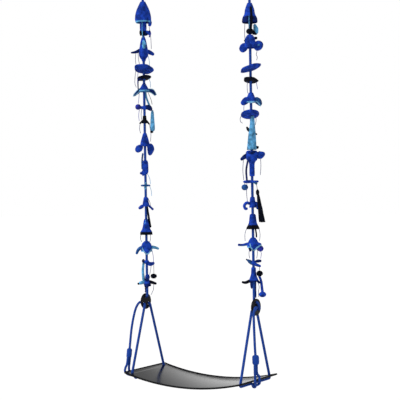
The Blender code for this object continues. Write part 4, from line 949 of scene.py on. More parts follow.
def skin(path, widths, depths, around, turns, row, relief, height, closed=False, facing=None):
    """A grid rolled round a path as a closed skin, with raised stitches or strands."""
    shape = new_shape()
    stitch = shape.verts.layers.float_vector["stitch"]
    rings = len(path)
    spans = rings if closed else rings - 1
    sides = side_directions(path, closed, facing)
    lengths = distances(path)
    bmesh.ops.create_grid(shape, x_segments=around, y_segments=spans, size=GRID_HALF)
    for vertex in shape.verts:
        turn = 2 * math.pi * (vertex.co.x + GRID_HALF)
        step = round((vertex.co.y + GRID_HALF) * spans)
        index = step % rings
        rows = lengths[index] / row
        raised = height * relief(turn * turns, rows) * min(1.0, widths[index] / (2 * height))
        first, second = sides[index]
        vertex.co = (path[index] + first * (widths[index] + raised) * math.cos(turn)
                     + second * (depths[index] + raised) * math.sin(turn))
        vertex[stitch] = (math.cos(turn * turns), math.sin(turn * turns), rows)
    if not closed:
        tidy(shape)
        rims = [edge for edge in shape.edges if edge.is_boundary]
        if rims:
            bmesh.ops.holes_fill(shape, edges=rims, sides=0)
    tidy(shape)
    return shape


def braid_skin(line, sizes, closed=False):
    """A braided skin with a radius for each point."""
    return skin(line, sizes, sizes, BRAID_AROUND, BRAID_TURNS, BRAID_ROW, braid_relief, BRAID_RELIEF, closed)


def braided(path, radius, closed=False):
    """The skin of a braided rope along a path."""
    line = bar_line(path, BRAID_STEP, closed)
    return braid_skin(line, [radius + BRAID_SWELL - BRAID_RELIEF / 2] * len(line), closed)


def whipped(line, sizes):
    """A skin of twine wound round a splice."""
    return skin(line, sizes, sizes, TWINE_AROUND, 1, TWINE_ROW, twine_relief, TWINE_RELIEF)


def metal_tube(path, radius, closed=False):
    """A smooth bar along a path."""
    line = bar_line(path, METAL_STEP, closed)
    sizes = [radius] * len(line)
    return skin(line, sizes, sizes, METAL_AROUND, 1, ROW, stitch_relief, METAL_RELIEF, closed)


def link_object(name, data):
    """A new object in the scene."""
    obj = bpy.data.objects.new(name, data)
    bpy.context.scene.collection.objects.link(obj)
    return obj


def mesh_object(name, shape):
    """A new object made of one finished shape."""
    mesh = bpy.data.meshes.new(name)
    shape.to_mesh(mesh)
    shape.free()
    return link_object(name, mesh)


def add_piece(name, shapes, material, body, slot, *nodes):
    """One object from finished shapes, carried by a body, in place of the nodes it stands for."""
    mesh = bpy.data.meshes.new(name)
    whole = bmesh.new()
    for shape in shapes:
        shape.to_mesh(mesh)
        shape.free()
        whole.from_mesh(mesh)
    whole.to_mesh(mesh)
    whole.free()
    mesh.shade_smooth()
    mesh.set_sharp_from_angle(angle=SHARP_FROM)
    mesh.materials.append(material)
    obj = link_object(name, mesh)
    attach(obj, body)
    if nodes:
        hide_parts(*nodes)
    return obj


def set_camera():
    """The camera of the photo, level and slightly rolled."""
    ahead = Vector((-math.sin(CAMERA_YAW), math.cos(CAMERA_YAW), 0))
    right = Vector((math.cos(CAMERA_YAW), math.sin(CAMERA_YAW), 0))
    across = right * math.cos(CAMERA_ROLL) + UP * math.sin(CAMERA_ROLL)
    above = UP * math.cos(CAMERA_ROLL) - right * math.sin(CAMERA_ROLL)
    data = bpy.data.cameras.new("camera")
    data.lens = CAMERA_LENS
    data.sensor_width = CAMERA_SENSOR
    data.clip_end = CAMERA_REACH
    camera = link_object("camera", data)
    turn = Matrix((across, above, -ahead)).transposed().to_4x4()
    camera.matrix_world = Matrix.Translation(CAMERA_PLACE) @ turn
    bpy.context.scene.camera = camera


def seen_rays(tree):
    """One for rays that show the background: straight from the camera, mirrored or through glass."""
    light = add_node(tree, "ShaderNodeLightPath").outputs
    seen = calc(tree, "MAXIMUM", light["Is Camera Ray"], light["Is Glossy Ray"])
    return calc(tree, "MAXIMUM", seen, light["Is Transmission Ray"])


def set_light():
    """White surroundings that mirror dimmer overhead, even light and one soft lamp from the upper left."""
    world = bpy.data.worlds.new("studio")
    world.use_nodes = True
    tree = world.node_tree
    strength = spread(tree, seen_rays(tree), AMBIENT, 1.0)
    way = add_node(tree, "ShaderNodeTexCoord").outputs["Generated"]
    rise = add_node(tree, "ShaderNodeSeparateXYZ", {0: way}).outputs[2]
    dimming = spread(tree, rise, 0.0, OVERHEAD_DIMMING, DIMMING_RISE)
    mirrored_rays = add_node(tree, "ShaderNodeLightPath").outputs["Is Glossy Ray"]
    strength = calc(tree, "SUBTRACT", strength, calc(tree, "MULTIPLY", dimming, mirrored_rays))
    backdrop = tree.nodes["Background"]
    backdrop.inputs["Color"].default_value = WHITE
    tree.links.new(strength, backdrop.inputs["Strength"])
    bpy.context.scene.world = world
    lamp = bpy.data.lights.new("soft_lamp", "SUN")
    lamp.energy = LAMP_STRENGTH
    lamp.angle = LAMP_WIDTH
    link_object("soft_lamp", lamp).rotation_euler = LAMP_FROM.to_track_quat("Z", "Y").to_euler()
    bpy.context.scene.view_settings.view_transform = "Standard"


def lay_floor():
    """A pale floor that runs out of sight."""
    shape = bmesh.new()
    bmesh.ops.create_grid(shape, x_segments=1, y_segments=1, size=FLOOR_HALF)
    bmesh.ops.translate(shape, vec=(0, 0, FLOOR_Z), verts=shape.verts)
    floor = mesh_object("floor", shape)
    material = bpy.data.materials.new("pale_floor")
    material.use_nodes = True
    tree = material.node_tree
    shader = tree.nodes["Principled BSDF"]
    shader.inputs["Roughness"].default_value = FLOOR_ROUGHNESS
    shader.inputs["Specular IOR Level"].default_value = 0.0
    shader.inputs["Emission Color"].default_value = WHITE
    tree.links.new(spread(tree, speckle(tree, FLOOR_MOTTLE), *FLOOR_TONES), shader.inputs["Base Color"])
    tree.links.new(spread(tree, seen_rays(tree), 0.0, FLOOR_GLOW), shader.inputs["Emission Strength"])
    floor.data.materials.append(material)


def mirrored(path, side):
    """A route of the right side, on either side."""
    return [Vector((SIDE_SIGN[side] * p[0], p[1], p[2])) for p in path]


def arc_z(x, below=0.0):
    """Height of the seat's arc at x, or of a line so far below its upper face."""
    return SEAT_TOP + ARC_RADIUS - math.sqrt((ARC_RADIUS + below) ** 2 - x ** 2)


HOLE_TOP_Z = arc_z(ROPE_X)
RUN_Z = arc_z(ROPE_X, SEAT_THICK + ROPE_R + GAP * 2)
HITCH_X = ROPE_X + HITCH_OUT
HITCH_Z = RUN_Z - FIT * 2 - HITCH_WIRE - HITCH_ROOM
END_Z = arc_z(SEAT_LENGTH / 2)
END_X = SEAT_LENGTH / 2 + TAIL_OUT


def leg_foot(y_sign):
    """Where a leg's line meets the line of the run under the seat."""
    start = Vector((0, y_sign * LOW_HOLE_OUT, DISC_LOW_Z))
    hole = Vector((0, y_sign * HOLE_Y, HOLE_TOP_Z - SEAT_THICK / 2))
    return start.lerp(hole, (RUN_Z - start.z) / (hole.z - start.z)).y


def leg_path(start, y_sign, run_end):
    """A leg from its points at the disc, through the seat's hole and round to the run under the seat."""
    foot = (ROPE_X, leg_foot(y_sign), RUN_Z)
    path = rounded(start + [foot], DISC_BEND)
    return path[:-1] + rounded([path[-2], foot, (ROPE_X, run_end, RUN_Z)], UNDER_BEND)[1:]


def run_path(side, start, end):
    """The run under the seat, with the dip where the tail's eye is hitched round it."""
    hitch_y = HITCH_FROM_FRONT[side] - HOLE_Y
    path = []
    for i in range(RUN_STEPS + 1):
        y = start + (end - start) * i / RUN_STEPS
        share = (1 + math.cos(math.pi * min(1.0, abs(y - hitch_y) / HITCH_REACH))) / 2
        path.append((ROPE_X + HITCH_OUT * share, y, RUN_Z + (HITCH_Z - RUN_Z) * share))
    return path


def hang_bridle(side):
    """The two legs from the disc to the seat, and the run under the seat between them."""
    run_start = leg_foot(-1) + UNDER_BEND * 2
    run_end = leg_foot(1) - UNDER_BEND * 2
    front = [(DISC_X, -LOW_HOLE_OUT, DISC_LOW_Z), (ROPE_X, -LOW_HOLE_OUT, DISC_LOW_Z)]
    back = [(DISC_X, 0, DISC_TOP_Z), (OUTER_X, 0, DISC_TOP_Z), (OUTER_X, LOW_HOLE_OUT, DISC_LOW_Z),
            (ROPE_X, LOW_HOLE_OUT, DISC_LOW_Z)]
    routes = {"front_leg": leg_path(front, -1, run_start), "back_leg": leg_path(back, 1, run_end),
              "under_run": run_path(side, run_start, run_end)}
    for name, route in routes.items():
        rope = braided(mirrored(route, side), ROPE_R)
        add_piece(side + "_" + name + "_rope", [rope], ROPE_FINISH, "seat", "rope_blue", side + "_" + name)


def tail_path(side, eye_y, eye_top):
    """The tail's centre line, from the disc's front hole to the top of its eye."""
    route = [(DISC_X + TAIL_LEAD, -LOW_HOLE_OUT, DISC_LOW_Z)]
    for drop, way, out in TAIL_ROUTE[side]:
        route.append((END_X + out, -LOW_HOLE_OUT + (eye_y + LOW_HOLE_OUT) * way,
                      DISC_LOW_Z + (eye_top - DISC_LOW_Z) * drop))
    route.append((END_X, eye_y, eye_top))
    start = Vector((DISC_X, -LOW_HOLE_OUT, DISC_LOW_Z))
    return mirrored([start] + smooth_path(route, BRAID_STEP), side)


def eye_path(side, hitch_y, eye_top, splice):
    """The eye's rope: down one strand from the splice, round the seat's end and up the other strand."""
    half = EYE_HALF[side]
    narrow = half * EYE_SHOULDER
    top_y = hitch_y - EYE_FORWARD[side]
    lean = EYE_WIDEST_FORWARD[side]
    strands = {}
    for sign in (-1, 1):
        out = sign * EYE_STRAND_OUT
        strands[sign] = [(splice.x, splice.y + out, splice.z), (END_X, top_y + out, eye_top),
                         (END_X, hitch_y - lean + sign * narrow, END_Z + EYE_SHOULDER_UP),
                         (END_X, hitch_y - lean + sign * half, END_Z - EYE_WIDEST_DOWN),
                         (END_X - EYE_TURN_IN, hitch_y - lean / 2 + sign * narrow, END_Z - EYE_TURN_DOWN)]
    bottom = (HITCH_X + ROPE_R + FIT + HITCH_WIRE, hitch_y, HITCH_Z + HITCH_RISE)
    return mirrored(smooth_path(strands[1] + [bottom] + strands[-1][::-1], BRAID_STEP), side)


def hang_tail(side):
    """The slack end from the disc's front hole, with its splice, its eye and the hitch under the seat."""
    hitch_y = HITCH_FROM_FRONT[side] - HOLE_Y
    eye_top = END_Z + EYE_TOP
    splice_z = eye_top + TAIL_SPLICE_UP[side]
    path = tail_path(side, hitch_y - EYE_FORWARD[side], eye_top)
    line = even_path(path, BRAID_STEP)
    full = TAIL_R + BRAID_SWELL - BRAID_RELIEF / 2
    sizes = [TAIL_CORE_R if p.z < splice_z else full for p in line]
    tail = add_piece(side + "_tail_rope", [braid_skin(line, sizes)], ROPE_FINISH, "seat", "rope_blue",
                     side + "_tail")

    sleeve = [p for p in even_path(path, SPLICE_STEP) if abs(p.z - splice_z) < TAIL_SPLICE_HALF]
    sizes = []
    for point in sleeve:
        share = 1 - (abs(point.z - splice_z) / TAIL_SPLICE_HALF) ** TAIL_SPLICE_SQUARENESS
        sizes.append(TAIL_R + (TAIL_SPLICE_R[side] - TAIL_R - TWINE_RELIEF) * math.sqrt(share))
    splice = add_piece(side + "_tail_splice", [whipped(sleeve, sizes)], SPLICE_FINISH, "seat", "rope_blue")

    middle = min(path, key=lambda p: abs(p.z - splice_z))
    middle = Vector((SIDE_SIGN[side] * middle.x, middle.y, middle.z))
    reach = ROPE_R + FIT * 2 + HITCH_WIRE / 2
    collar = arc(Vector((HITCH_X, hitch_y, HITCH_Z)), ALONG * reach, UP * reach, 0, 2 * math.pi, COLLAR_STEPS)
    hitch = [braided(eye_path(side, hitch_y, eye_top, middle), EYE_R),
             braided(mirrored(collar, side), HITCH_WIRE / 2, closed=True)]
    eye = add_piece(side + "_tail_eye", hitch, ROPE_FINISH, "seat", "rope_blue")
    path[0]
    path_length(path)


def hang_rope(side):
    """The long ornamented rope, its foot that turns into the disc, and the thin cord along the foot."""
    x = SIDE_SIGN[side] * ROPE_X
    line = [(x, 0, SPLICE_FOOT_Z), (x, 0, FLEX_Z)]
    add_piece(side + "_long_rope", [braided(line, ROPE_R)], ROPE_FINISH, side + "_strand", "rope_blue",
              side + "_main_rope")
    bend = rounded([(ROPE_X, 0, FLEX_Z + ROPE_R), (ROPE_X, 0, DISC_TOP_Z), (DISC_X, 0, DISC_TOP_Z)],
                   DISC_BEND)
    foot = braided(mirrored(bend, side), ROPE_R)
    add_piece(side + "_foot_rope", [foot], ROPE_FINISH, "carrier", "rope_blue", side + "_rope_foot")
    cord = leaf([spot(side, *place) for place in FOOT_CORD[side]], [FOOT_CORD_HALF] * 2, FOOT_CORD_HALF)
    add_piece(side + "_foot_cord", [cord], yarn("navy", "navy"), "carrier", YARN_SLOTS["navy"])


def add_cone(shape, segments, low_radius, high_radius, height, matrix):
    """A closed cone or cylinder, added to a shape."""
    bmesh.ops.create_cone(shape, cap_ends=True, segments=segments, radius1=low_radius, radius2=high_radius,
                          depth=height, matrix=matrix)


def cut_with(shape, cutters):
    """The shape with other shapes cut out of it."""
    blank = mesh_object("blank", shape)
    tools = [mesh_object("cutter", cutter) for cutter in cutters]
    for tool in tools:
        boolean = blank.modifiers.new("cut", "BOOLEAN")
        boolean.operation = "DIFFERENCE"
        boolean.object = tool
    bpy.context.view_layer.update()
    result = bmesh.new()
    result.from_object(blank, bpy.context.evaluated_depsgraph_get())
    for obj in tools + [blank]:
        bpy.data.objects.remove(obj, do_unlink=True)
    bmesh.ops.remove_doubles(result, verts=result.verts, dist=CUT_SEAM)
    return result


def drill(radius, length, matrix):
    """A cylinder for cutting a round hole."""
    shape = bmesh.new()
    add_cone(shape, DRILL_SEGMENTS, radius, radius, length, matrix)
    return shape


def soften(shape, width):
    """Round the sharp edges of a shape."""
    sharp = [edge for edge in shape.edges if edge.is_manifold and edge.calc_face_angle() > SOFT_FROM]
    bmesh.ops.bevel(shape, geom=sharp, offset=width, segments=SOFT_STEPS, profile=0.5, affect="EDGES",
                    material=-1, clamp_overlap=True)


def bend_seat():
    """The thin bent plate, with a rope hole near each corner and a darker, matt bead round its edges: partly
    the plate's own dark edge, partly a painted dark reflection of its rounded edge.
    """
    shape = bmesh.new()
    bmesh.ops.create_grid(shape, x_segments=SEAT_STEPS, y_segments=1, size=GRID_HALF)
    bmesh.ops.scale(shape, vec=(SEAT_LENGTH, SEAT_DEPTH, 1), verts=shape.verts)
    corners = [v for v in shape.verts if len(v.link_edges) == 2]
    bmesh.ops.bevel(shape, geom=corners, offset=SEAT_CORNER, segments=SEAT_CORNER_STEPS, profile=0.5,
                    affect="VERTICES", material=-1)
    for vertex in shape.verts:
        vertex.co.z = arc_z(vertex.co.x)
    bmesh.ops.solidify(shape, geom=shape.faces, thickness=SEAT_THICK)
    bmesh.ops.recalc_face_normals(shape, faces=shape.faces)
    holes = []
    for x in (-ROPE_X, ROPE_X):
        for y in (-HOLE_Y, HOLE_Y):
            holes.append(drill(SEAT_HOLE_DIA / 2, SEAT_DRILL, Matrix.Translation((x, y, HOLE_TOP_Z))))
    seat = cut_with(shape, holes)
    soften(seat, SEAT_SOFTENING)
    add_piece("seat_bent_plate", [seat], SEAT_FINISH, "seat", "seat_black", "seat_plate")
    # The bead draws a black line round all edges: partly the plate's own dark edge, partly a painted dark
    # reflection
    half_x = SEAT_LENGTH / 2 - EDGE_BEAD_R + EDGE_BEAD_OUT
    half_y = SEAT_DEPTH / 2 - EDGE_BEAD_R + EDGE_BEAD_OUT
    outline = [(0, -half_y, 0), (half_x, -half_y, 0), (half_x, half_y, 0),
               (-half_x, half_y, 0), (-half_x, -half_y, 0), (0, -half_y, 0)]
    bead = even_path(rounded(outline, SEAT_CORNER - EDGE_BEAD_R + EDGE_BEAD_OUT), METAL_STEP)
    bead = [Vector((p.x, p.y, arc_z(p.x) - EDGE_BEAD_DROP)) for p in bead]
    add_piece("seat_edge_bead", [metal_tube(bead, EDGE_BEAD_R, closed=True)], EDGE_FINISH, "seat",
              "seat_black", "seat_plate")


def cut_disc(side):
    """The rope disc, with a rounded rim and three rounded holes."""
    across = Matrix.Rotation(math.pi / 2, 4, "Y")
    place = Vector((SIDE_SIGN[side] * DISC_X, 0, DISC_Z))
    shape = bmesh.new()
    add_cone(shape, ROUND_SEGMENTS, DISC_R, DISC_R, DISC_THICK, Matrix.Translation(place) @ across)
    holes = []
    for y, z in ((0, DISC_TOP_Z), (-LOW_HOLE_OUT, DISC_LOW_Z), (LOW_HOLE_OUT, DISC_LOW_Z)):
        holes.append(drill(DISC_HOLE_DIA / 2, DISC_DRILL, Matrix.Translation((place.x, y, z)) @ across))
    disc = cut_with(shape, holes)
    soften(disc, DISC_SOFTENING)
    add_piece(side + "_rope_disc", [disc], DISC_FINISH, "seat", "disc_black", side + "_disc")


def spot(side, across, height, away=0.0):
    """A place beside a rope, from millimetres to the right, above the discs' upper edge and away."""
    axis = Vector((SIDE_SIGN[side] * ROPE_X, 0, DISC_EDGE_Z))
    return axis + (ACROSS * across + UP * height + AWAY * away) * MM


def beside(origin, point):
    """A place given by millimetres (across, drop, away) from an origin."""
    across, drop, away = (*point, 0)[:3]
    return origin + (ACROSS * across - UP * drop + AWAY * away) * MM


def turned(profile, hollow):
    """A half section of (radius, height, rim) points spun about the vertical, with raised stitches."""
    shape = new_shape()
    stitch = shape.verts.layers.float_vector["stitch"]
    rim = shape.verts.layers.float["rim"]
    rows = shape.verts.layers.float.new("rows")
    section = []
    row_sizes = defaultdict(list)
    gone = 0.0
    for index, (radius, height, in_rim) in enumerate(profile):
        if index:
            gone += math.hypot(radius - profile[index - 1][0], height - profile[index - 1][1])
        row_sizes[int(gone / ROW)].append(radius)
        vertex = shape.verts.new((radius, 0, height))
        vertex[rows] = gone / ROW
        vertex[rim] = in_rim
        section.append(vertex)
    pairs = list(zip(section, section[1:]))
    if hollow:
        pairs.append((section[-1], section[0]))
    edges = [shape.edges.new(pair) for pair in pairs]
    widest = max(point[0] for point in profile)
    steps = max(SPIN_FEWEST, SPIN_PER_STITCH * round(2 * math.pi * widest / STITCH))
    bmesh.ops.spin(shape, geom=section + edges, cent=(0, 0, 0), axis=UP, angle=2 * math.pi, steps=steps,
                   use_merge=True)
    tidy(shape)
    shape.normal_update()
    counts = {}
    for row, radii in row_sizes.items():
        counts[row] = max(STITCHES_FEWEST, round(2 * math.pi * sum(radii) / len(radii) / STITCH))
    for vertex in shape.verts:
        row = vertex[rows]
        turn = math.atan2(vertex.co.y, vertex.co.x) * counts[int(row + ROW_SLACK)]
        vertex[stitch] = (math.cos(turn), math.sin(turn), row)
        if math.hypot(vertex.co.x, vertex.co.y) > BORE + RELIEF:
            vertex.co += vertex.normal * RELIEF * stitch_relief(turn, row)
    return shape


def rim_share(drop, rim_from):
    """One past the drop where the rim's yarn starts."""
    return 1.0 if drop > rim_from * MM else 0.0


def bell_section(outline, rim_from):
    """Half section of a hollow bell: down its outside and up its inside."""
    crown = outline[0][1] * MM
    places = [(BORE, 0, 0), (SHOULDER_SHARE * crown, 0, SHOULDER_DROP)]
    for drop, radius in outline:
        places.append((radius * MM, 0, drop * MM + (crown * CROWN_SHARE if drop == 0 else 0)))
    outside = smooth_path(places, FINE)
    section = [(p.x, -p.z, rim_share(p.z, rim_from)) for p in outside]
    for point in reversed(outside[::INSIDE_EVERY]):
        if point.x < BORE + WALL or point.z < 2 * WALL:
            break
        section.append((point.x - WALL, -point.z, rim_share(point.z, rim_from)))
    return section + [(BORE, section[-1][1], 0.0)]


def solid_section(outline):
    """Half section of a stuffed piece threaded on the rope."""
    ends = [(outline[0][0], BORE / MM)] + outline + [(outline[-1][0], BORE / MM)]
    line = smooth_path([(radius * MM, 0, drop * MM) for drop, radius in ends], FINE)
    return [(max(BORE, p.x), -p.z, 0.0) for p in line]


def disc_section(radius, thick):
    """Half section of a flat round with a rounded edge."""
    half = thick / 2
    corner = radius - half
    line = [Vector((BORE, 0, 0)), Vector((corner, 0, 0))]
    for i in range(1, EDGE_STEPS):
        turn = math.pi * i / EDGE_STEPS
        line.append(Vector((corner + half * math.sin(turn), 0, -half + half * math.cos(turn))))
    line += [Vector((corner, 0, -thick)), Vector((BORE, 0, -thick))]
    return [(p.x, p.z, 0.0) for p in even_path(line, FINE)]


def flat_round(spec):
    """A stitched round, waved at its edge and tilted."""
    radius, thick = (size * MM for size in spec["disc"])
    shape = turned(disc_section(radius, thick), hollow=True)
    for vertex in shape.verts:
        reach = math.hypot(vertex.co.x, vertex.co.y)
        turn = math.atan2(vertex.co.y, vertex.co.x) - RIGHTWARD
        share = min(1.0, (reach - BORE) / (radius - BORE))
        petal = math.cos(spec["petals"] * (turn - math.radians(spec.get("phase", 0))))
        grown = BORE + (reach - BORE) * (1 + spec["wave"] * petal * share ** 2)
        rise = (spec.get("lean", 0) * math.cos(turn) - spec.get("near", 0) * math.sin(turn)) * grown * share
        vertex.co = Vector((vertex.co.x * grown / reach, vertex.co.y * grown / reach, vertex.co.z + rise))
    return shape


def slant(shape, outline, across, away):
    """A bell whose top is moved aside, and the rest less and less down to its rim."""
    lowest = outline[-1][0] * MM
    for vertex in shape.verts:
        vertex.co += (ACROSS * across + AWAY * away) * MM * (1 + vertex.co.z / lowest)
    return shape


def threaded_shapes(spec):
    """What an ornament has threaded on the rope: a bell, a stuffed piece or a flat round."""
    shapes = []
    if "bell" in spec:
        bell = turned(bell_section(spec["bell"], spec.get("rim_from", NO_RIM)), hollow=True)
        shapes.append(slant(bell, spec["bell"], *spec.get("slant", (0, 0))))
    if "solid" in spec:
        shapes.append(turned(solid_section(spec["solid"]), hollow=True))
    if "disc" in spec:
        shapes.append(flat_round(spec))
    return shapes


def ball(centre, half_width, half_height):
    """A stitched ball."""
    count = max(BALL_FEWEST, round(math.pi * max(half_width, half_height) / FINE))
    section = []
    for i in range(count + 1):
        turn = math.pi * i / count
        section.append((half_width * math.sin(turn), half_height * math.cos(turn), 0.0))
    shape = turned(section, hollow=False)
    bmesh.ops.translate(shape, vec=centre, verts=shape.verts)
    return shape


def leaf(points, halves, depth):
    """A stitched petal, arm or cord along a path, with rounded ends."""
    path = smooth_path(points, FINE)
    length = path_length(path)
    widths = []
    for i in range(len(path)):
        share = i / (len(path) - 1)
        place = share * (len(halves) - 1)
        low = min(int(place), len(halves) - 2)
        half = halves[low] + (halves[low + 1] - halves[low]) * (place - low)
        end = min(share, 1 - share) * length
        cap = min(half, LEAF_CAP * length)
        widths.append(half * math.sqrt(max(0.0, 1 - max(0.0, 1 - end / cap) ** 2)))
    widest = max(widths)
    depths = [depth * width / widest for width in widths]
    turns = max(LEAF_STITCHES, round(math.pi * (widest + depth) / STITCH))
    return skin(path, widths, depths, turns * LEAF_PER_STITCH, turns, ROW, stitch_relief,
                min(RELIEF, widest * LEAF_RELIEF), facing=AWAY)


def plain(shape):
    """Yarn without stitches: every point lies on the crown of a row."""
    stitch = shape.verts.layers.float_vector["stitch"]
    for vertex in shape.verts:
        vertex[stitch] = (1, 0, 0.5)
    return shape


def loose_yarn(path, sides):
    """A strand of yarn without stitches."""
    sizes = [LOOSE_R] * len(path)
    return plain(skin(path, sizes, sizes, sides, 1, ROW, stitch_relief, LOOSE_RELIEF))


def pompom(centre, half_width, half_height, seed):
    """A ball of cut yarn ends, a little flattened."""
    chance = random.Random(seed)
    shape = new_shape()
    bmesh.ops.create_icosphere(shape, subdivisions=3, radius=half_width * POMPOM_CORE)
    for i in range(POMPOM_TUFTS):
        height = 1 - 2 * (i + 0.5) / POMPOM_TUFTS
        turn = i * GOLDEN_TURN
        flat = math.sqrt(1 - height ** 2)
        way = Vector((flat * math.cos(turn), flat * math.sin(turn), height))
        way += Vector([chance.uniform(-POMPOM_SCATTER, POMPOM_SCATTER) for axis in range(3)])
        way.normalize()
        middle = way * half_width * chance.uniform(*TUFT_MIDDLE)
        matrix = Matrix.Translation(middle) @ way.to_track_quat("Z", "Y").to_matrix().to_4x4()
        add_cone(shape, TUFT_SIDES, TUFT_ROOT_R, TUFT_TIP_R, half_width * TUFT_LENGTH, matrix)
    bmesh.ops.scale(shape, vec=(1, 1, half_height / half_width), verts=shape.verts)
    bmesh.ops.translate(shape, vec=centre, verts=shape.verts)
    return plain(shape)


def fringe(origin, neck, hem, lean):
    """A tassel's skirt of loose strands, from a tied neck down to an uneven hem."""
    chance = random.Random(FRINGE_SEED)
    strands = []
    for i in range(FRINGE_STRANDS):
        turn = i * GOLDEN_TURN
        share = math.sqrt((i + 0.5) / FRINGE_STRANDS)
        out = AWAY * math.sin(turn) + ACROSS * math.cos(turn)
        points = []
        for step in range(FRINGE_BENDS + 1):
            down = step / FRINGE_BENDS
            cut = 1 if step < FRINGE_BENDS else chance.uniform(FRINGE_SHORTEST, 1.0)
            drop = neck + (hem - neck) * down * cut
            reach = share * (FRINGE_NECK + FRINGE_FLARE * down ** FRINGE_FLARE_POWER)
            sway = chance.uniform(-FRINGE_SWAY, FRINGE_SWAY) if step else 0
            points.append(origin + (ACROSS * lean * drop / hem + out * (reach + sway) - UP * drop) * MM)
        strands.append(loose_yarn(smooth_path(points, FRINGE_STEP), FRINGE_SIDES))
    return strands


def make_ornament(name, spec, origin, body):
    """All the yarn work of one ornament, a piece for each colour."""
    own = (spec["yarn"], spec.get("rim", spec["yarn"]))
    shapes = defaultdict(list)
    for shape in threaded_shapes(spec):
        bmesh.ops.translate(shape, vec=origin, verts=shape.verts)
        shapes[own].append(shape)
    for colour, points, halves, depth in spec.get("leaves", ()):
        line = [beside(origin, point) for point in points]
        shapes[colour, colour].append(leaf(line, [half * MM for half in halves], depth * MM))
    for colour, centre, halves in spec.get("balls", ()):
        shapes[colour, colour].append(ball(beside(origin, centre), *(half * MM for half in halves)))
    for colour, centre, halves in spec.get("pompoms", ()):
        tufted = pompom(beside(origin, centre), *(half * MM for half in halves), len(name))
        shapes[colour, colour].append(tufted)
    neck, hem, lean = spec.get("fringe", NO_FRINGE)
    if "fringe" in spec:
        shapes[own].extend(fringe(origin, neck, hem, lean))
    if "thread" in spec:
        end = beside(origin, (lean * spec["thread"] / hem, spec["thread"]))
        shapes[own].append(loose_yarn(even_path([origin, end], LOOSE_STEP), LOOSE_SIDES))
    for (colour, rim), group in shapes.items():
        piece = name + "_" + colour + ("_knit" if rim == colour else "_rimmed")
        add_piece(piece, group, yarn(colour, rim), body, YARN_SLOTS[colour], name)


def hang_thread(index, side, colour, points):
    """A loose end of thread, tied to the rope's ornaments at its upper end."""
    name = side + "_thread_" + str(index)
    line = smooth_path([spot(side, across, height) for across, height in points], THREAD_STEP)
    data = bpy.data.curves.new(name, "CURVE")
    data.dimensions = "3D"
    data.bevel_depth = THREAD_R
    data.bevel_resolution = THREAD_ROUNDNESS
    data.use_fill_caps = True
    spline = data.splines.new("POLY")
    spline.points.add(len(line) - 1)
    for point, place in zip(spline.points, line):
        point.co = (*place, 1)
    data.materials.append(thread_finish(colour))
    obj = link_object(name, data)
    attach(obj, side + "_strand")
    YARN_SLOTS[colour]
    line[0]
    path_length(line)


def joint_place(child):
    """Where the joint of a body lies."""
    return Vector(next(j["pos_m"] for j in frame["record"]["behaviour"]["joints"] if j["child"] == child))


def fix_ceiling_plate(side):
    """The round plate with its welded ring and four screws."""
    x = SIDE_SIGN[side] * ROPE_X
    plate = new_shape()
    add_cone(plate, ROUND_SEGMENTS, PLATE_DIA / 2, PLATE_DIA / 2, PLATE_THICK,
             Matrix.Translation((x, 0, -PLATE_THICK / 2)))
    soften(plate, PLATE_SOFTENING)
    ring = arc(Vector((x, 0, -PLATE_THICK - RING_R)), ALONG * RING_R, UP * RING_R, 0, 2 * math.pi, RING_STEPS)
    parts = [plate, metal_tube(ring, RING_WIRE_R, closed=True)]
    for turn in SCREW_ANGLES:
        out = ALONG * math.cos(turn) + BACK * math.sin(turn)
        middle = Vector((x, 0, -PLATE_THICK - SCREW_HEAD / 2)) + out * PLATE_HOLE_CIRCLE / 2
        screw = new_shape()
        add_cone(screw, SCREW_SEGMENTS, SCREW_FACE_R, SCREW_BASE_R, SCREW_HEAD, Matrix.Translation(middle))
        soften(screw, SCREW_SOFTENING)
        slot = bmesh.new()
        place = Matrix.Translation(middle - UP * SCREW_HEAD / 2) @ Matrix.Rotation(turn, 4, "Z")
        bmesh.ops.create_cube(slot, size=1.0, matrix=place @ Matrix.Diagonal(SCREW_SLOT))
        parts.append(cut_with(screw, [slot]))
    add_piece(side + "_eye_plate", parts, STEEL_FINISH, "hangers", "steel", side + "_ceiling_plate")


def fix_link(side):
    """The oval link between the plate's ring and the rope's thimble."""
    low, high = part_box(side + "_link")
    middle = (low + high) / 2
    half = (high.y - low.y) / 2 - LINK_WIRE_R
    straight = UP * ((high.z - low.z) / 2 - LINK_WIRE_R - half)
    oval = arc(middle + straight, BACK * half, UP * half, 0, math.pi, BOW_STEPS)
    oval += arc(middle - straight, BACK * half, UP * half, math.pi, 2 * math.pi, BOW_STEPS)
    tube = metal_tube(oval + oval[:1], LINK_WIRE_R, closed=True)
    add_piece(side + "_oval_link", [tube], STEEL_FINISH, "links", "steel", side + "_link")


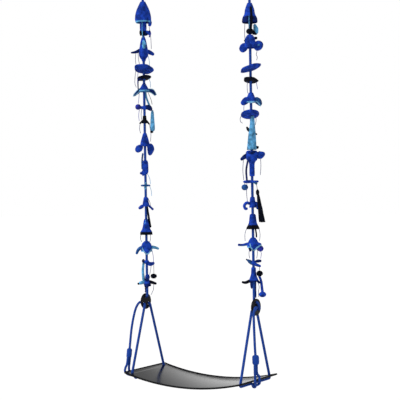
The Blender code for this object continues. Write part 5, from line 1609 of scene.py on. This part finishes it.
def fix_top_eye(side):
    """The rope's eye round its steel thimble, closed by a whipped splice."""
    x = SIDE_SIGN[side] * ROPE_X
    low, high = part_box(side + "_thimble")
    centre = Vector((x, 0, (low.z + high.z) / 2))
    back = ROPE_R + FIT + THIMBLE_WALL
    radius = THIMBLE_BORE / 2 + back - FIT
    groove = centre + ALONG * radius
    rim = new_shape()
    outline = []
    for reach, hug in ((ROPE_R + FIT, THIMBLE_HUG), (back, -THIMBLE_HUG)):
        section = arc(groove, ALONG * -reach, BACK * reach, hug, -hug, THIMBLE_STEPS)
        outline += [rim.verts.new(place) for place in section]
    edges = [rim.edges.new(pair) for pair in zip(outline, outline[1:] + outline[:1])]
    bmesh.ops.spin(rim, geom=outline + edges, cent=centre, axis=BACK, angle=2 * math.pi, steps=THIMBLE_SPIN,
                   use_merge=True)
    tidy(rim)
    add_piece(side + "_eye_thimble", [rim], STEEL_FINISH, side + "_strand", "steel", side + "_thimble")

    leg = ROPE_R + GAP
    splice_top = SPLICE_FOOT_Z + SPLICE_LENGTH
    touch = math.atan2(-TOP_EYE_DROP, leg) + math.acos(radius / math.hypot(leg, TOP_EYE_DROP))
    loop = [Vector((x + leg, 0, splice_top - ROPE_R)), Vector((x + leg, 0, splice_top + ROPE_R))]
    loop += arc(centre, ALONG * radius, UP * radius, touch, math.pi - touch, TOP_EYE_STEPS)
    loop += [Vector((x - leg, 0, splice_top + ROPE_R)), Vector((x - leg, 0, splice_top - ROPE_R))]
    add_piece(side + "_eye_rope", [braided(loop, ROPE_R)], ROPE_FINISH, side + "_strand", "rope_blue",
              side + "_top_eye")
    line = even_path([Vector((x, 0, splice_top)), Vector((x, 0, SPLICE_FOOT_Z))], SPLICE_STEP)
    sizes = []
    for i in range(len(line)):
        share = i / (len(line) - 1)
        full = leg + (1 - share) * ROPE_R - SPLICE_INSET
        sizes.append(full * min(1.0, SPLICE_TOP_SHARE + SPLICE_GROWTH * share))
    add_piece(side + "_eye_splice", [whipped(line, sizes)], SPLICE_FINISH, side + "_strand", "rope_blue",
              side + "_top_eye")


set_camera()
set_light()
lay_floor()
for strand_side in SIDE_SIGN:
    hang_tail(strand_side)
    hang_bridle(strand_side)
    hang_rope(strand_side)
    cut_disc(strand_side)
    fix_ceiling_plate(strand_side)
    fix_link(strand_side)
    fix_top_eye(strand_side)
for number, thread in enumerate(THREADS, 1):
    hang_thread(number, *thread)
bend_seat()
for ornament, sizes in ORNAMENTS.items():
    strand_side = ornament.split("_")[0]
    make_ornament(ornament, sizes, spot(strand_side, 0, sizes["top"]), strand_side + "_strand")
for pendant, sizes in PENDANTS.items():
    make_ornament(pendant, sizes, joint_place(pendant), pendant)
